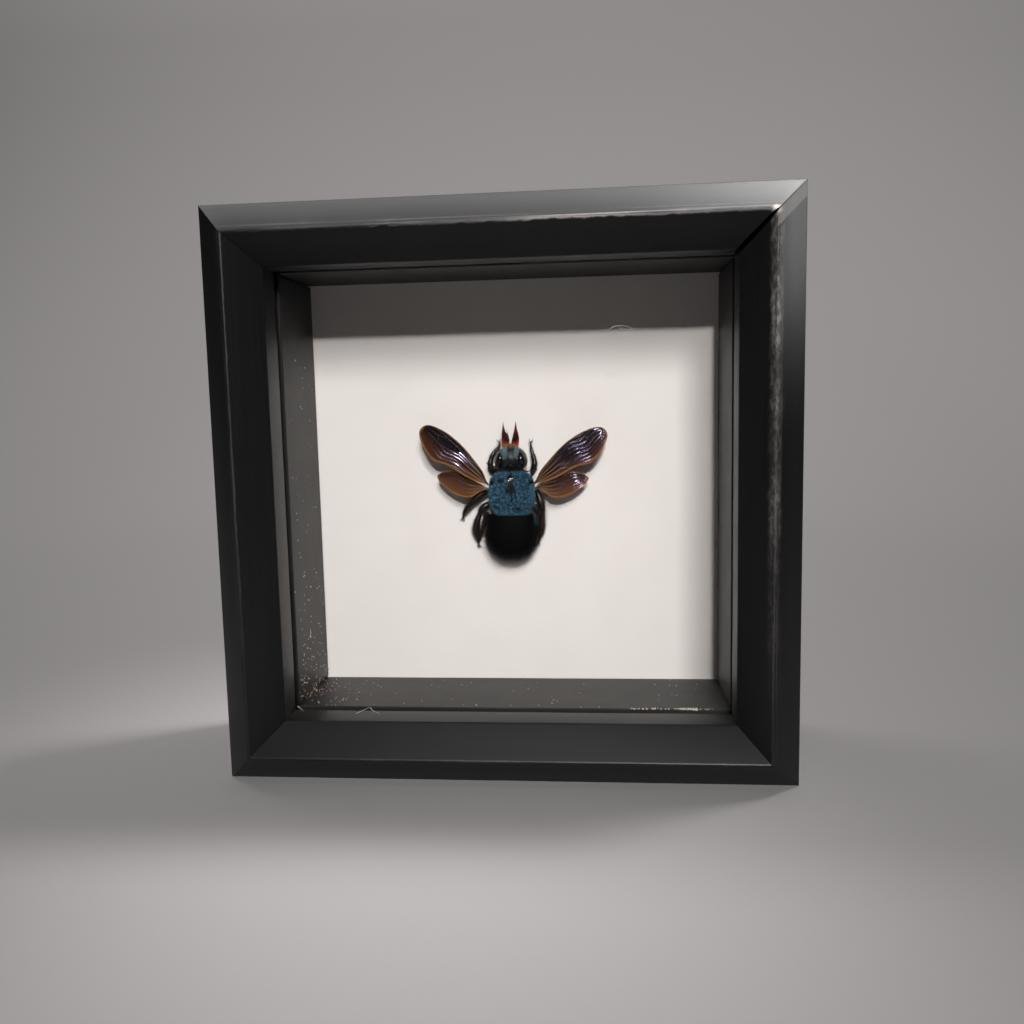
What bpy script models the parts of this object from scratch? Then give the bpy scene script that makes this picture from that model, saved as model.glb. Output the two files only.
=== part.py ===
"""A blue carpenter bee, dried and fixed to a white card, in a deep black box frame with a glass front.

Metres, +Z up. The frame stands on its bottom edge and faces -Y. The origin is under the middle of the
frame, at the height of the surface that it stands on. "Depth" is measured back from the ridge of the
moulding, and "rise" is measured from the white card towards the viewer.
"""

import math

import bmesh
import bpy
from mathutils import Vector

# Box frame
SIDE = 0.122
DEPTH = 0.0465
SEAT_GAP = 0.0003
OUTER_ARRIS_DEPTH = 0.0058
RIDGE_INSET = 0.0065
RIDGE_ROUNDING = 0.0007
RIDGE_BLUNTING = 0.00025
ARRIS_EASE = 0.0003
LIP_INSET = 0.0128
LIP_FRONT_DEPTH = 0.0062
LIP_BACK_DEPTH = 0.0130
REBATE_INSET = 0.0101
GLASS_THICKNESS = 0.0025
SPACER_THICKNESS = 0.0023
CARD_DEPTH = 0.0391
CARD_THICKNESS = 0.0015
BOARD_THICKNESS = 0.0025
BOARD_EASE = 0.0002

# Fittings on the back
POINT_WIDTH = 0.008
POINT_THICKNESS = 0.0004
POINT_LENGTH = 0.014
POINT_TIP = 0.0045
HANGER_LENGTH = 0.040
HANGER_WIDTH = 0.0085
HANGER_PLATE = 0.0008
HANGER_TEETH = 9
TOOTH_HEIGHT = 0.0016
NAIL_HOLE_RADIUS = 0.0010
NAIL_SHANK_RADIUS = 0.0007
NAIL_HEAD_RADIUS = 0.0019
NAIL_HEAD_THICKNESS = 0.0006
NAIL_DOME_RADIUS = 0.0013
NAIL_DOME_EDGE = 0.0005
NAIL_SPACING = 0.032
ROUND_SIDES = 16
WELD_DISTANCE = 0.00005

HALF = SIDE / 2
FRONT_Y = -(DEPTH + SEAT_GAP * 2 + HANGER_PLATE + NAIL_HEAD_THICKNESS) / 2
BACK_Y = FRONT_Y + DEPTH
CARD_Y = FRONT_Y + CARD_DEPTH
GLASS_FRONT_DEPTH = LIP_BACK_DEPTH + SEAT_GAP
GLASS_BACK_DEPTH = GLASS_FRONT_DEPTH + GLASS_THICKNESS
LINING_HALF = HALF - REBATE_INSET - SEAT_GAP

# Bee: places are across (+X), up the card (+Z) and rise from the card, from the middle of the card
THORAX_CENTRE = (-0.0003, -0.0017, 0.0049)
THORAX_RADII = (0.0056, 0.0052, 0.0043)
THORAX_SQUARENESS = 0.55
THORAX_LOCKS = 0.0003
ABDOMEN_CENTRE = (-0.0006, -0.0104, 0.0044)
ABDOMEN_RADII = (0.0060, 0.0071, 0.0037)
ABDOMEN_SQUARENESS = 0.85
ABDOMEN_LOCKS = 0.0008
ABDOMEN_FRONT = -0.0073
HEAD_CENTRE = (-0.0004, 0.0064, 0.0043)
HEAD_RADII = (0.0037, 0.0025, 0.0031)
EYE_OFFSET = (0.0029, 0.0000, 0.0005)
EYE_RADII = (0.0012, 0.0021, 0.0023)
EYE_TURN = math.radians(10)
BLADE_RISE = 0.0035
BLADE_THICKNESS = 0.0006
DOME_POWER = 0.85
WING_THICKNESS = 0.00028
WING_ARCH = 0.0006
WING_GRID = (20, 8)
PLEAT_HEIGHT = 0.00022
PLEATS = 3
LEG_STEPS = 18

# Wing outlines as (along, leading edge, trailing edge), from the root, on the right wing
FOREWING = [
    (0.0003, 0.0006, -0.0005),
    (0.0020, 0.0015, -0.0013),
    (0.0045, 0.0022, -0.0020),
    (0.0075, 0.0029, -0.0023),
    (0.0100, 0.0033, -0.0028),
    (0.0125, 0.0034, -0.0038),
    (0.0150, 0.0032, -0.0036),
    (0.0175, 0.0026, -0.0025),
    (0.0188, 0.0020, -0.0017),
    (0.0196, 0.0012, -0.0009),
    (0.0199, 0.0004, -0.0002),
]
HINDWING = [
    (0.0003, 0.0003, -0.0004),
    (0.0015, 0.0007, -0.0014),
    (0.0030, 0.0010, -0.0028),
    (0.0048, 0.0015, -0.0033),
    (0.0066, 0.0020, -0.0031),
    (0.0085, 0.0023, -0.0026),
    (0.0102, 0.0018, -0.0018),
    (0.0114, 0.0011, -0.0010),
    (0.0120, 0.0005, -0.0004),
    (0.0122, 0.0002, -0.0001),
]
# Root place, tip rise and angle above the horizontal of each wing
WINGS = {
    "forewing_left": (FOREWING, (-0.0064, 0.0010, 0.0062), 0.0052, math.radians(140)),
    "forewing_right": (FOREWING, (0.0058, 0.0010, 0.0062), 0.0052, math.radians(35)),
    "hindwing_left": (HINDWING, (-0.0064, -0.0006, 0.0050), 0.0040, math.radians(166)),
    "hindwing_right": (HINDWING, (0.0058, -0.0006, 0.0050), 0.0040, math.radians(9)),
}

# Leg routes from the body to the foot, as (across, up, rise, radius)
LEGS = {
    "foreleg_left": [
        (-0.0048, 0.0027, 0.0018, 0.00050),
        (-0.0062, 0.0044, 0.0020, 0.00062),
        (-0.0060, 0.0062, 0.0020, 0.00056),
        (-0.0048, 0.0080, 0.0018, 0.00040),
        (-0.0036, 0.0089, 0.0016, 0.00030),
        (-0.0034, 0.0096, 0.0015, 0.00022),
        (-0.0035, 0.0103, 0.0014, 0.00034),
    ],
    "foreleg_right": [
        (0.0043, 0.0028, 0.0018, 0.00050),
        (0.0049, 0.0042, 0.0020, 0.00068),
        (0.0050, 0.0056, 0.0020, 0.00060),
        (0.0045, 0.0076, 0.0018, 0.00042),
        (0.0042, 0.0089, 0.0016, 0.00026),
        (0.0041, 0.0095, 0.0015, 0.00020),
        (0.0042, 0.0103, 0.0014, 0.00036),
    ],
    "midleg_left": [
        (-0.0058, -0.0012, 0.0022, 0.00060),
        (-0.0080, -0.0022, 0.0030, 0.00086),
        (-0.0100, -0.0039, 0.0028, 0.00078),
        (-0.0115, -0.0055, 0.0020, 0.00064),
        (-0.0124, -0.0071, 0.0013, 0.00036),
        (-0.0127, -0.0077, 0.0010, 0.00024),
        (-0.0128, -0.0084, 0.0009, 0.00038),
    ],
    "midleg_right": [
        (0.0053, -0.0012, 0.0024, 0.00060),
        (0.0061, -0.0032, 0.0032, 0.00078),
        (0.0067, -0.0055, 0.0032, 0.00080),
        (0.0069, -0.0068, 0.0030, 0.00046),
        (0.0066, -0.0086, 0.0027, 0.00074),
        (0.0065, -0.0112, 0.0023, 0.00068),
        (0.0058, -0.0134, 0.0016, 0.00026),
        (0.0055, -0.0147, 0.0011, 0.00038),
    ],
    "hindleg_left": [
        (-0.0056, -0.0045, 0.0016, 0.00060),
        (-0.0076, -0.0055, 0.0020, 0.00080),
        (-0.0086, -0.0072, 0.0019, 0.00050),
        (-0.0094, -0.0098, 0.0017, 0.00088),
        (-0.0095, -0.0120, 0.0014, 0.00080),
        (-0.0091, -0.0139, 0.0010, 0.00026),
        (-0.0090, -0.0150, 0.0009, 0.00040),
    ],
    "hindleg_right": [
        (0.0047, -0.0050, 0.0014, 0.00060),
        (0.0056, -0.0075, 0.0012, 0.00072),
        (0.0054, -0.0105, 0.0011, 0.00070),
        (0.0046, -0.0130, 0.0009, 0.00030),
        (0.0043, -0.0147, 0.0009, 0.00040),
    ],
}
# Each blade's outline as (across, up)
BLADES = {
    "mouthpart_left": [
        (-0.0026, 0.0092),
        (-0.0008, 0.0092),
        (-0.0008, 0.0103),
        (-0.0012, 0.0123),
        (-0.0014, 0.0110),
        (-0.0017, 0.0122),
        (-0.0022, 0.0149),
        (-0.0026, 0.0118),
    ],
    "mouthpart_right": [
        (-0.0004, 0.0092),
        (0.0014, 0.0092),
        (0.0015, 0.0112),
        (0.0012, 0.0128),
        (0.0007, 0.0149),
        (0.0003, 0.0130),
        (-0.0003, 0.0104),
    ],
}

BLACK = (0.012, 0.012, 0.012)
WHITE_CARD = (0.78, 0.75, 0.71)
GLASS_TINT = (0.85, 0.90, 0.88)
STEEL = (0.55, 0.54, 0.52)
FIBREBOARD = (0.30, 0.20, 0.12)
HAIR_BLUE = (0.045, 0.150, 0.240)
CHITIN = (0.010, 0.009, 0.010)
WING_BROWN = (0.060, 0.030, 0.022)
RED_BROWN = (0.160, 0.030, 0.020)
BRASS = (0.60, 0.46, 0.22)


def clear_scene():
    """Remove every object, so that the script also runs in an open file."""
    for thing in list(bpy.data.objects):
        bpy.data.objects.remove(thing, do_unlink=True)


def new_collection(name):
    """A collection in the scene."""
    group = bpy.data.collections.new(name)
    bpy.context.scene.collection.children.link(group)
    return group


def principled(name, color, roughness, metallic=0.0):
    """A plain finish."""
    material = bpy.data.materials.new(name)
    material.use_nodes = True
    shader = material.node_tree.nodes["Principled BSDF"]
    shader.inputs["Base Color"].default_value = (*color, 1.0)
    shader.inputs["Roughness"].default_value = roughness
    shader.inputs["Metallic"].default_value = metallic
    return material


def on_card(across, up, rise):
    """The world place of a point that is given from the middle of the card's face."""
    return Vector((across, CARD_Y - rise, HALF + up))


def add_part(name, data, material, smooth=False):
    """A named sub-part in the object's collection."""
    part = bpy.data.objects.new(name, data)
    PARTS.objects.link(part)
    data.materials.append(material)
    if smooth:
        data.shade_smooth()
    return part


def mesh_from(build, name):
    """A mesh from a bmesh that the function fills."""
    mesh = bpy.data.meshes.new(name)
    shape = bmesh.new()
    build(shape)
    bmesh.ops.recalc_face_normals(shape, faces=shape.faces)
    shape.to_mesh(mesh)
    shape.free()
    return mesh


def board(name, low, high, material):
    """A flat piece between two corners, with its edges eased."""
    low, high = Vector(low), Vector(high)

    def build(shape):
        bmesh.ops.create_cube(shape, size=1.0)
        bmesh.ops.scale(shape, vec=high - low, verts=shape.verts)

    part = add_part(name, mesh_from(build, name), material)
    part.location = (low + high) / 2
    edges = part.modifiers.new("eased edges", "BEVEL")
    edges.width = BOARD_EASE
    edges.segments = 1


def rail_profile():
    """The moulding's section as (inset from the outer side, depth behind the ridge)."""
    outer_slope = Vector((RIDGE_INSET, -OUTER_ARRIS_DEPTH)).normalized()
    inner_slope = Vector((LIP_INSET - RIDGE_INSET, LIP_FRONT_DEPTH)).normalized()
    outer_arris = Vector((0.0, OUTER_ARRIS_DEPTH))
    ridge = Vector((RIDGE_INSET, -RIDGE_BLUNTING))
    lip_arris = Vector((LIP_INSET, LIP_FRONT_DEPTH))
    straight_back = Vector((0.0, ARRIS_EASE))
    return [
        outer_arris + straight_back,
        outer_arris + outer_slope * ARRIS_EASE,
        ridge - outer_slope * RIDGE_ROUNDING,
        Vector((RIDGE_INSET, 0.0)),
        ridge + inner_slope * RIDGE_ROUNDING,
        lip_arris - inner_slope * ARRIS_EASE,
        lip_arris + straight_back,
        Vector((LIP_INSET, LIP_BACK_DEPTH)),
        Vector((REBATE_INSET, LIP_BACK_DEPTH)),
        Vector((REBATE_INSET, DEPTH)),
        Vector((0.0, DEPTH)),
    ]


def rail_mesh(name):
    """The bottom rail about the frame's middle: the section drawn out, then its ends cut to the mitre."""
    mitre_gap = SEAT_GAP / 2 * math.sqrt(2)

    def build(shape):
        rim = [shape.verts.new((0.0, FRONT_Y + p.y, p.x - HALF)) for p in rail_profile()]
        section = shape.faces.new(rim)
        drawn = bmesh.ops.extrude_face_region(shape, geom=[section])
        far = {item for item in drawn["geom"] if isinstance(item, bmesh.types.BMVert)}
        for vertex in shape.verts:
            reach = -vertex.co.z - mitre_gap
            vertex.co.x = reach if vertex in far else -reach

    return mesh_from(build, name)


def build_rails():
    """Four mitred rails, each the same moulding turned about the frame's middle."""
    finish = principled("black moulding", BLACK, 0.42)
    shared = rail_mesh("rail")
    for name, turn in (("bottom", 0), ("right", 90), ("top", 180), ("left", 270)):
        rail = add_part(f"rail_{name}", shared.copy(), finish)
        rail.location.z = HALF
        rail.rotation_euler.y = -math.radians(turn)
    bpy.data.meshes.remove(shared)


def build_glazing_and_boards():
    """The glass, the strips that line the box, the card and the board behind it."""
    face = LINING_HALF
    glass = principled("clear glass", GLASS_TINT, 0.03)
    glass.node_tree.nodes["Principled BSDF"].inputs["Transmission Weight"].default_value = 1.0
    black = principled("black lining", BLACK, 0.5)
    board(
        "glass_pane",
        (-face, FRONT_Y + GLASS_FRONT_DEPTH, HALF - face),
        (face, FRONT_Y + GLASS_BACK_DEPTH, HALF + face),
        glass,
    )
    front = FRONT_Y + GLASS_BACK_DEPTH + SEAT_GAP
    back = CARD_Y - SEAT_GAP
    inner = face - SPACER_THICKNESS
    for name, side in (("spacer_bottom", -1), ("spacer_top", 1)):
        edges = sorted((HALF + side * inner, HALF + side * face))
        board(name, (-face, front, edges[0]), (face, back, edges[1]), black)
    for name, side in (("spacer_left", -1), ("spacer_right", 1)):
        edges = sorted((side * inner, side * face))
        height = inner - SEAT_GAP
        board(name, (edges[0], front, HALF - height), (edges[1], back, HALF + height), black)
    card_back = CARD_Y + CARD_THICKNESS
    board(
        "mount_card",
        (-face, CARD_Y, HALF - face),
        (face, card_back, HALF + face),
        principled("white card", WHITE_CARD, 0.8),
    )
    board(
        "back_board",
        (-face, card_back + SEAT_GAP, HALF - face),
        (face, card_back + SEAT_GAP + BOARD_THICKNESS, HALF + face),
        principled("fibreboard", FIBREBOARD, 0.75),
    )


def build_retaining_points():
    """Flat steel points at the middle of each side, lying on the back board."""
    steel = principled("point steel", STEEL, 0.4, 1.0)
    seat = CARD_Y + CARD_THICKNESS + BOARD_THICKNESS + SEAT_GAP * 2
    size = Vector((POINT_WIDTH, POINT_THICKNESS, POINT_LENGTH))
    middle = LINING_HALF - POINT_LENGTH / 2

    def build(shape):
        bmesh.ops.create_cube(shape, size=1.0)
        bmesh.ops.scale(shape, vec=size, verts=shape.verts)
        bmesh.ops.translate(shape, vec=(0.0, 0.0, middle), verts=shape.verts)
        for vertex in shape.verts:
            if vertex.co.z < middle:
                vertex.co.x *= POINT_TIP / POINT_WIDTH

    for number in range(4):
        point = add_part(f"retaining_point_{number + 1}", mesh_from(build, "point"), steel)
        point.location = (0.0, seat + POINT_THICKNESS / 2, HALF)
        point.rotation_euler.y = math.radians(90) * number


def closed_spline(curve, points):
    """A closed polygon in a flat curve."""
    spline = curve.splines.new("POLY")
    spline.points.add(len(points) - 1)
    for point, (across, up) in zip(spline.points, points):
        point.co = (across, up, 0.0, 1.0)
    spline.use_cyclic_u = True


def arc_points(centre, radius, start, turn, count):
    """Points round part of a circle on the flat curve's X axis."""
    angles = [math.radians(start + turn * i / count) for i in range(count + 1)]
    return [(centre + radius * math.cos(a), radius * math.sin(a)) for a in angles]


def hanger_outline():
    """The plate's outline: rounded ends, and teeth along the lower edge for the nail in the wall."""
    radius = HANGER_WIDTH / 2
    end = HANGER_LENGTH / 2 - radius
    span = NAIL_SPACING - 4 * NAIL_HEAD_RADIUS
    pitch = span / HANGER_TEETH
    teeth = []
    for tooth in range(HANGER_TEETH):
        corner = span / 2 - tooth * pitch
        teeth += [(corner, -radius), (corner - pitch / 2, TOOTH_HEIGHT - radius)]
    teeth.append((-span / 2, -radius))
    return arc_points(-end, radius, 270, -180, 4) + arc_points(end, radius, 90, -180, 4) + teeth


def build_hanger():
    """The sawtooth plate on the back of the top rail, and the nails through its ends."""
    brass = principled("hanger brass", BRASS, 0.35, 1.0)
    height = SIDE - REBATE_INSET / 2
    flat = bpy.data.curves.new("sawtooth_hanger", "CURVE")
    flat.dimensions = "2D"
    flat.fill_mode = "BOTH"
    flat.extrude = HANGER_PLATE / 2
    closed_spline(flat, hanger_outline())
    for side in (-1, 1):
        hole = arc_points(side * NAIL_SPACING / 2, NAIL_HOLE_RADIUS, 0, 360, ROUND_SIDES)
        closed_spline(flat, hole[:-1])
    plate = add_part("sawtooth_hanger", flat, brass)
    plate.location = (0.0, BACK_Y + SEAT_GAP + HANGER_PLATE / 2, height)
    plate.rotation_euler.x = math.radians(90)
    for name, side in (("left", -1), ("right", 1)):
        build_nail(f"hanger_nail_{name}", side * NAIL_SPACING / 2, height, brass)


def build_nail(name, across, height, material):
    """A nail's head and the short shank that fills the hole in the plate, turned from its profile."""
    start = SEAT_GAP
    head = SEAT_GAP * 2 + HANGER_PLATE
    profile = [
        (0.0, head + NAIL_HEAD_THICKNESS),
        (NAIL_DOME_RADIUS, head + NAIL_DOME_EDGE),
        (NAIL_HEAD_RADIUS, head),
        (NAIL_SHANK_RADIUS, head),
        (NAIL_SHANK_RADIUS, start),
        (0.0, start),
    ]

    def build(shape):
        ring = [shape.verts.new((radius, 0.0, along)) for radius, along in profile]
        for one, two in zip(ring, ring[1:]):
            shape.edges.new((one, two))

    nail = add_part(name, mesh_from(build, name), material)
    nail.location = (across, BACK_Y, height)
    nail.rotation_euler.x = math.radians(-90)
    turned = nail.modifiers.new("turned", "SCREW")
    turned.steps = ROUND_SIDES
    turned.render_steps = ROUND_SIDES
    turned.use_merge_vertices = True
    turned.merge_threshold = WELD_DISTANCE


def swell(value, power):
    """A signed power, which squares or pinches a round section."""
    return math.copysign(abs(value) ** power, value)


def hairy_body(name, centre, radii, squareness, lock_length, segments, material, front=math.inf):
    """A rounded body seen from above. Its rim stands out in tapering locks of hair towards the rear, and
    it is cut flat at the front, where it meets the piece before it."""

    def build(shape):
        bmesh.ops.create_uvsphere(shape, u_segments=segments, v_segments=12, radius=1.0)
        for vertex in shape.verts:
            across, up, rise = vertex.co
            level = math.hypot(across, up)
            angle = math.atan2(up, across)
            round_x = swell(math.cos(angle), squareness)
            round_z = swell(math.sin(angle), squareness)
            rim = max(0.0, 1.0 - abs(rise) * 4)
            rearward = min(1.0, max(0.0, 0.75 - math.sin(angle)))
            index = round(angle / (2 * math.pi / segments))
            lock = lock_length * rim * rearward * (index % 2)
            vertex.co.x = level * round_x * radii[0] + lock * math.cos(angle)
            vertex.co.y = level * round_z * radii[1] + lock * math.sin(angle)
            vertex.co.y = min(vertex.co.y, front - centre[1])
            vertex.co.z = swell(rise, DOME_POWER) * radii[2]

    body = add_part(name, mesh_from(build, name), material, smooth=True)
    body.location = on_card(*centre)
    body.rotation_euler.x = math.radians(90)


def ellipsoid_mesh(name, radii, segments, rings):
    """A sphere drawn to three radii: across, up the card and out from it."""

    def build(shape):
        bmesh.ops.create_uvsphere(shape, u_segments=segments, v_segments=rings, radius=1.0)
        bmesh.ops.scale(shape, vec=(radii[0], radii[2], radii[1]), verts=shape.verts)

    return mesh_from(build, name)


def build_head():
    """The head capsule, broad and rounded, with a long eye let into each side."""
    chitin = principled("head chitin", CHITIN, 0.3)
    mesh = ellipsoid_mesh("bee_head", HEAD_RADII, 24, 14)
    head = add_part("bee_head", mesh, chitin, smooth=True)
    head.location = on_card(*HEAD_CENTRE)
    for name, side in (("left", -1), ("right", 1)):
        mesh = ellipsoid_mesh(f"eye_{name}", EYE_RADII, 16, 12)
        eye = bpy.data.objects.new(f"eye_{name}", mesh)
        CUTTERS.objects.link(eye)
        eye.hide_render = True
        eye.display_type = "WIRE"
        across, up, rise = (a + b * c for a, b, c in zip(HEAD_CENTRE, EYE_OFFSET, (side, 1, 1)))
        eye.location = on_card(across, up, rise)
        eye.rotation_euler.y = -side * EYE_TURN
        join = head.modifiers.new(f"eye {name}", "BOOLEAN")
        join.operation = "UNION"
        join.object = eye


def build_body():
    """Thorax and abdomen."""
    blue = principled("blue hair", HAIR_BLUE, 0.7)
    black = principled("abdomen chitin", CHITIN, 0.35)
    hairy_body("bee_thorax", THORAX_CENTRE, THORAX_RADII, THORAX_SQUARENESS, THORAX_LOCKS, 48, blue)
    hairy_body(
        "bee_abdomen",
        ABDOMEN_CENTRE,
        ABDOMEN_RADII,
        ABDOMEN_SQUARENESS,
        ABDOMEN_LOCKS,
        72,
        black,
        ABDOMEN_FRONT,
    )


def build_mouthparts():
    """Two pointed blades side by side in front of the head."""
    finish = principled("red-brown chitin", RED_BROWN, 0.25)
    for name, outline in BLADES.items():
        curve = bpy.data.curves.new(name, "CURVE")
        curve.dimensions = "2D"
        curve.fill_mode = "BOTH"
        curve.extrude = BLADE_THICKNESS / 2
        closed_spline(curve, outline)
        blade = add_part(name, curve, finish)
        blade.location = on_card(0.0, 0.0, BLADE_RISE)
        blade.rotation_euler.x = math.radians(90)


def between(rows, place):
    """The row at this share of the list, eased from the rows round it."""
    last = len(rows) - 1
    spot = min(max(place, 0.0), 1.0) * last
    low = min(int(spot), last - 1)
    part = spot - low
    around = [rows[min(max(low + k, 0), last)] for k in (-1, 0, 1, 2)]
    result = []
    for a, b, c, d in zip(*around):
        slope_b, slope_c = (c - a) / 2, (d - b) / 2
        square, cube = part * part, part ** 3
        eased = (2 * cube - 3 * square + 1) * b + (cube - 2 * square + part) * slope_b
        eased += (3 * square - 2 * cube) * c + (cube - square) * slope_c
        result.append(eased)
    return result


def build_wing(name, outline, root, tip_rise, angle, material):
    """A thin wing, pleated along its length, drawn from its outline out to the tip."""
    length = outline[-1][0]
    side = -1 if math.cos(angle) < 0 else 1
    along = Vector((math.cos(angle), 0.0, math.sin(angle)))
    lead = Vector((-math.sin(angle) * side, 0.0, math.cos(angle) * side))

    def build(shape):
        bmesh.ops.create_grid(shape, x_segments=WING_GRID[0], y_segments=WING_GRID[1], size=1.0)
        for vertex in shape.verts:
            share = (vertex.co.x + 1) / 2
            chord = (vertex.co.y + 1) / 2
            reach, front, rear = between(outline, share)
            offset = rear + (front - rear) * chord
            fade = min(1.0, 4 * share) * min(1.0, 6 * chord) * min(1.0, 6 * (1 - chord))
            pleat = PLEAT_HEIGHT * fade * math.sin(chord * math.tau * PLEATS)
            rise = root[2] + (tip_rise - root[2]) * reach / length
            rise += WING_ARCH * math.sin(math.pi * share)
            place = on_card(root[0], root[1], rise + pleat)
            vertex.co = place + along * reach + lead * offset

    wing = add_part(name, mesh_from(build, name), material, smooth=True)
    sheet = wing.modifiers.new("thickness", "SOLIDIFY")
    sheet.thickness = WING_THICKNESS
    sheet.offset = 0.0


def build_wings():
    """Two pairs of wings."""
    finish = principled("smoky wing", WING_BROWN, 0.25)
    for name, (outline, root, tip_rise, angle) in WINGS.items():
        build_wing(name, outline, root, tip_rise, angle, finish)


def build_legs():
    """Six legs, each a tapering tube bent through its joints."""
    finish = principled("leg chitin", CHITIN, 0.45)
    for name, route in LEGS.items():
        curve = bpy.data.curves.new(name, "CURVE")
        curve.dimensions = "3D"
        curve.bevel_depth = 1.0
        curve.bevel_resolution = 2
        curve.use_fill_caps = True
        spline = curve.splines.new("POLY")
        spline.points.add(LEG_STEPS)
        for index, point in enumerate(spline.points):
            across, up, rise, radius = between(route, index / LEG_STEPS)
            point.co = (*on_card(across, up, rise), 1.0)
            point.radius = radius
        add_part(name, curve, finish)


clear_scene()
PARTS = new_collection("framed_carpenter_bee")
CUTTERS = new_collection("cutters")
build_rails()
build_glazing_and_boards()
build_retaining_points()
build_hanger()
build_body()
build_head()
build_mouthparts()
build_wings()
build_legs()
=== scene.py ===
"""The looks of a framed blue carpenter bee.

A deep black box frame has a glass front, and the dried bee is fixed to the white card in it.
Meshes are in metres, +Z up, and the frame faces -Y. Tables of sizes are in millimetres: on the bee
a place is across (+X), up the card (+Z) and rise (out from the card), from the middle of the
card's face, and on the moulding it is the inset from the frame's outer side and the depth behind
the ridge.
"""

import logging
import math
from collections.abc import Callable, Iterable, Sequence
from dataclasses import dataclass, field
from enum import Enum
from typing import ClassVar

import bmesh
import bpy
from mathutils import Matrix, Vector, noise

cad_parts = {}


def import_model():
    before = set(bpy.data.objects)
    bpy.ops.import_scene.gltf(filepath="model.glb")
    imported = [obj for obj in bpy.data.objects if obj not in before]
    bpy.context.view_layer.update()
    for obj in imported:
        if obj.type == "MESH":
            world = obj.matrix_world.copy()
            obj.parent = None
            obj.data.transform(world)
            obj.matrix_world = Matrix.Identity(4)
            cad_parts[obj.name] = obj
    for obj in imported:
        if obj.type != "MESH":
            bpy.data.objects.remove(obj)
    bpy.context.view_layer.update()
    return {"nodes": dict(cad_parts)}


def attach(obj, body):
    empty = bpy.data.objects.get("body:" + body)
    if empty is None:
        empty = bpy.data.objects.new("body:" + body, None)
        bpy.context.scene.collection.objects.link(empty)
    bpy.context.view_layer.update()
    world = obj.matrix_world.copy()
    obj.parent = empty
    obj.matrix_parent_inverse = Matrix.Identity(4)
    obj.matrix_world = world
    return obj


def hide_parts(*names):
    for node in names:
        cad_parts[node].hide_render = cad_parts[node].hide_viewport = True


LOG = logging.getLogger("framed_bee")
MM = 0.001
HALF = 0.061
FRONT_Y = -0.02425
CARD_Y = 0.01485

Color = tuple[float, float, float]
Row = Sequence[float]


def on_card(across: float, up: float, rise: float) -> Vector:
    """The place, in metres, of a point in millimetres from the middle of the card's face."""
    return Vector((across * MM, CARD_Y - rise * MM, HALF + up * MM))


def smooth_step(value: float, low: float, high: float) -> float:
    """An eased step from 0 at low to 1 at high, which may be the smaller of the two."""
    share = min(max((value - low) / (high - low), 0.0), 1.0)
    return share * share * (3.0 - 2.0 * share)


def between(rows: Sequence[Row], place: float) -> list[float]:
    """The row at this share of a table, eased from the rows round it.

    Args:
        rows: Rows of numbers, all of the same length.
        place: From 0 at the first row to 1 at the last.

    Returns:
        One row of numbers.
    """
    last = len(rows) - 1
    spot = min(max(place, 0.0), 1.0) * last
    low = min(int(spot), last - 1)
    part = spot - low
    around = [rows[min(max(low + k, 0), last)] for k in (-1, 0, 1, 2)]
    result = []
    for a, b, c, d in zip(*around):
        square, cube = part * part, part**3
        eased = (2 * cube - 3 * square + 1) * b + (cube - 2 * square + part) * (c - a) / 2
        eased += (3 * square - 2 * cube) * c + (cube - square) * (d - b) / 2
        result.append(eased)
    return result


class Wire:
    """One output of a node, on which Python's operators add Math nodes."""

    def __init__(self, graph: "Graph", socket: bpy.types.NodeSocket) -> None:
        """Wrap a socket of the graph."""
        self.graph = graph
        self.socket = socket

    def out(self, name: str | int) -> "Wire":
        """Another output of the same node."""
        return Wire(self.graph, self.socket.node.outputs[name])

    def __add__(self, other: "Wire | float") -> "Wire":
        """The sum."""
        return self.graph.math("ADD", self, other)

    def __radd__(self, other: float) -> "Wire":
        """The sum, from the right."""
        return self.graph.math("ADD", other, self)

    def __sub__(self, other: "Wire | float") -> "Wire":
        """The difference."""
        return self.graph.math("SUBTRACT", self, other)

    def __rsub__(self, other: float) -> "Wire":
        """The difference, from the right."""
        return self.graph.math("SUBTRACT", other, self)

    def __mul__(self, other: "Wire | float") -> "Wire":
        """The product."""
        return self.graph.math("MULTIPLY", self, other)

    def __rmul__(self, other: float) -> "Wire":
        """The product, from the right."""
        return self.graph.math("MULTIPLY", other, self)

    def __truediv__(self, other: "Wire | float") -> "Wire":
        """The quotient."""
        return self.graph.math("DIVIDE", self, other)

    def __rtruediv__(self, other: float) -> "Wire":
        """The quotient, from the right."""
        return self.graph.math("DIVIDE", other, self)

    def __pow__(self, other: "Wire | float") -> "Wire":
        """The power."""
        return self.graph.math("POWER", self, other)

    def __abs__(self) -> "Wire":
        """The size without its sign."""
        return self.graph.math("ABSOLUTE", self)

    def smaller(self, other: "Wire | float") -> "Wire":
        """The smaller of the two."""
        return self.graph.math("MINIMUM", self, other)

    def larger(self, other: "Wire | float") -> "Wire":
        """The larger of the two."""
        return self.graph.math("MAXIMUM", self, other)

    def step(self, low: float, high: float) -> "Wire":
        """An eased step from 0 to 1.

        Args:
            low: Where it is 0.
            high: Where it is 1, above low or below it.

        Returns:
            The step as a wire.
        """
        rising = low < high
        made = self.graph.node(
            "ShaderNodeMapRange",
            {"interpolation_type": "SMOOTHSTEP"},
            {
                "Value": self,
                "From Min": min(low, high),
                "From Max": max(low, high),
                "To Min": 0.0 if rising else 1.0,
                "To Max": 1.0 if rising else 0.0,
            },
        )
        return made


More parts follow.
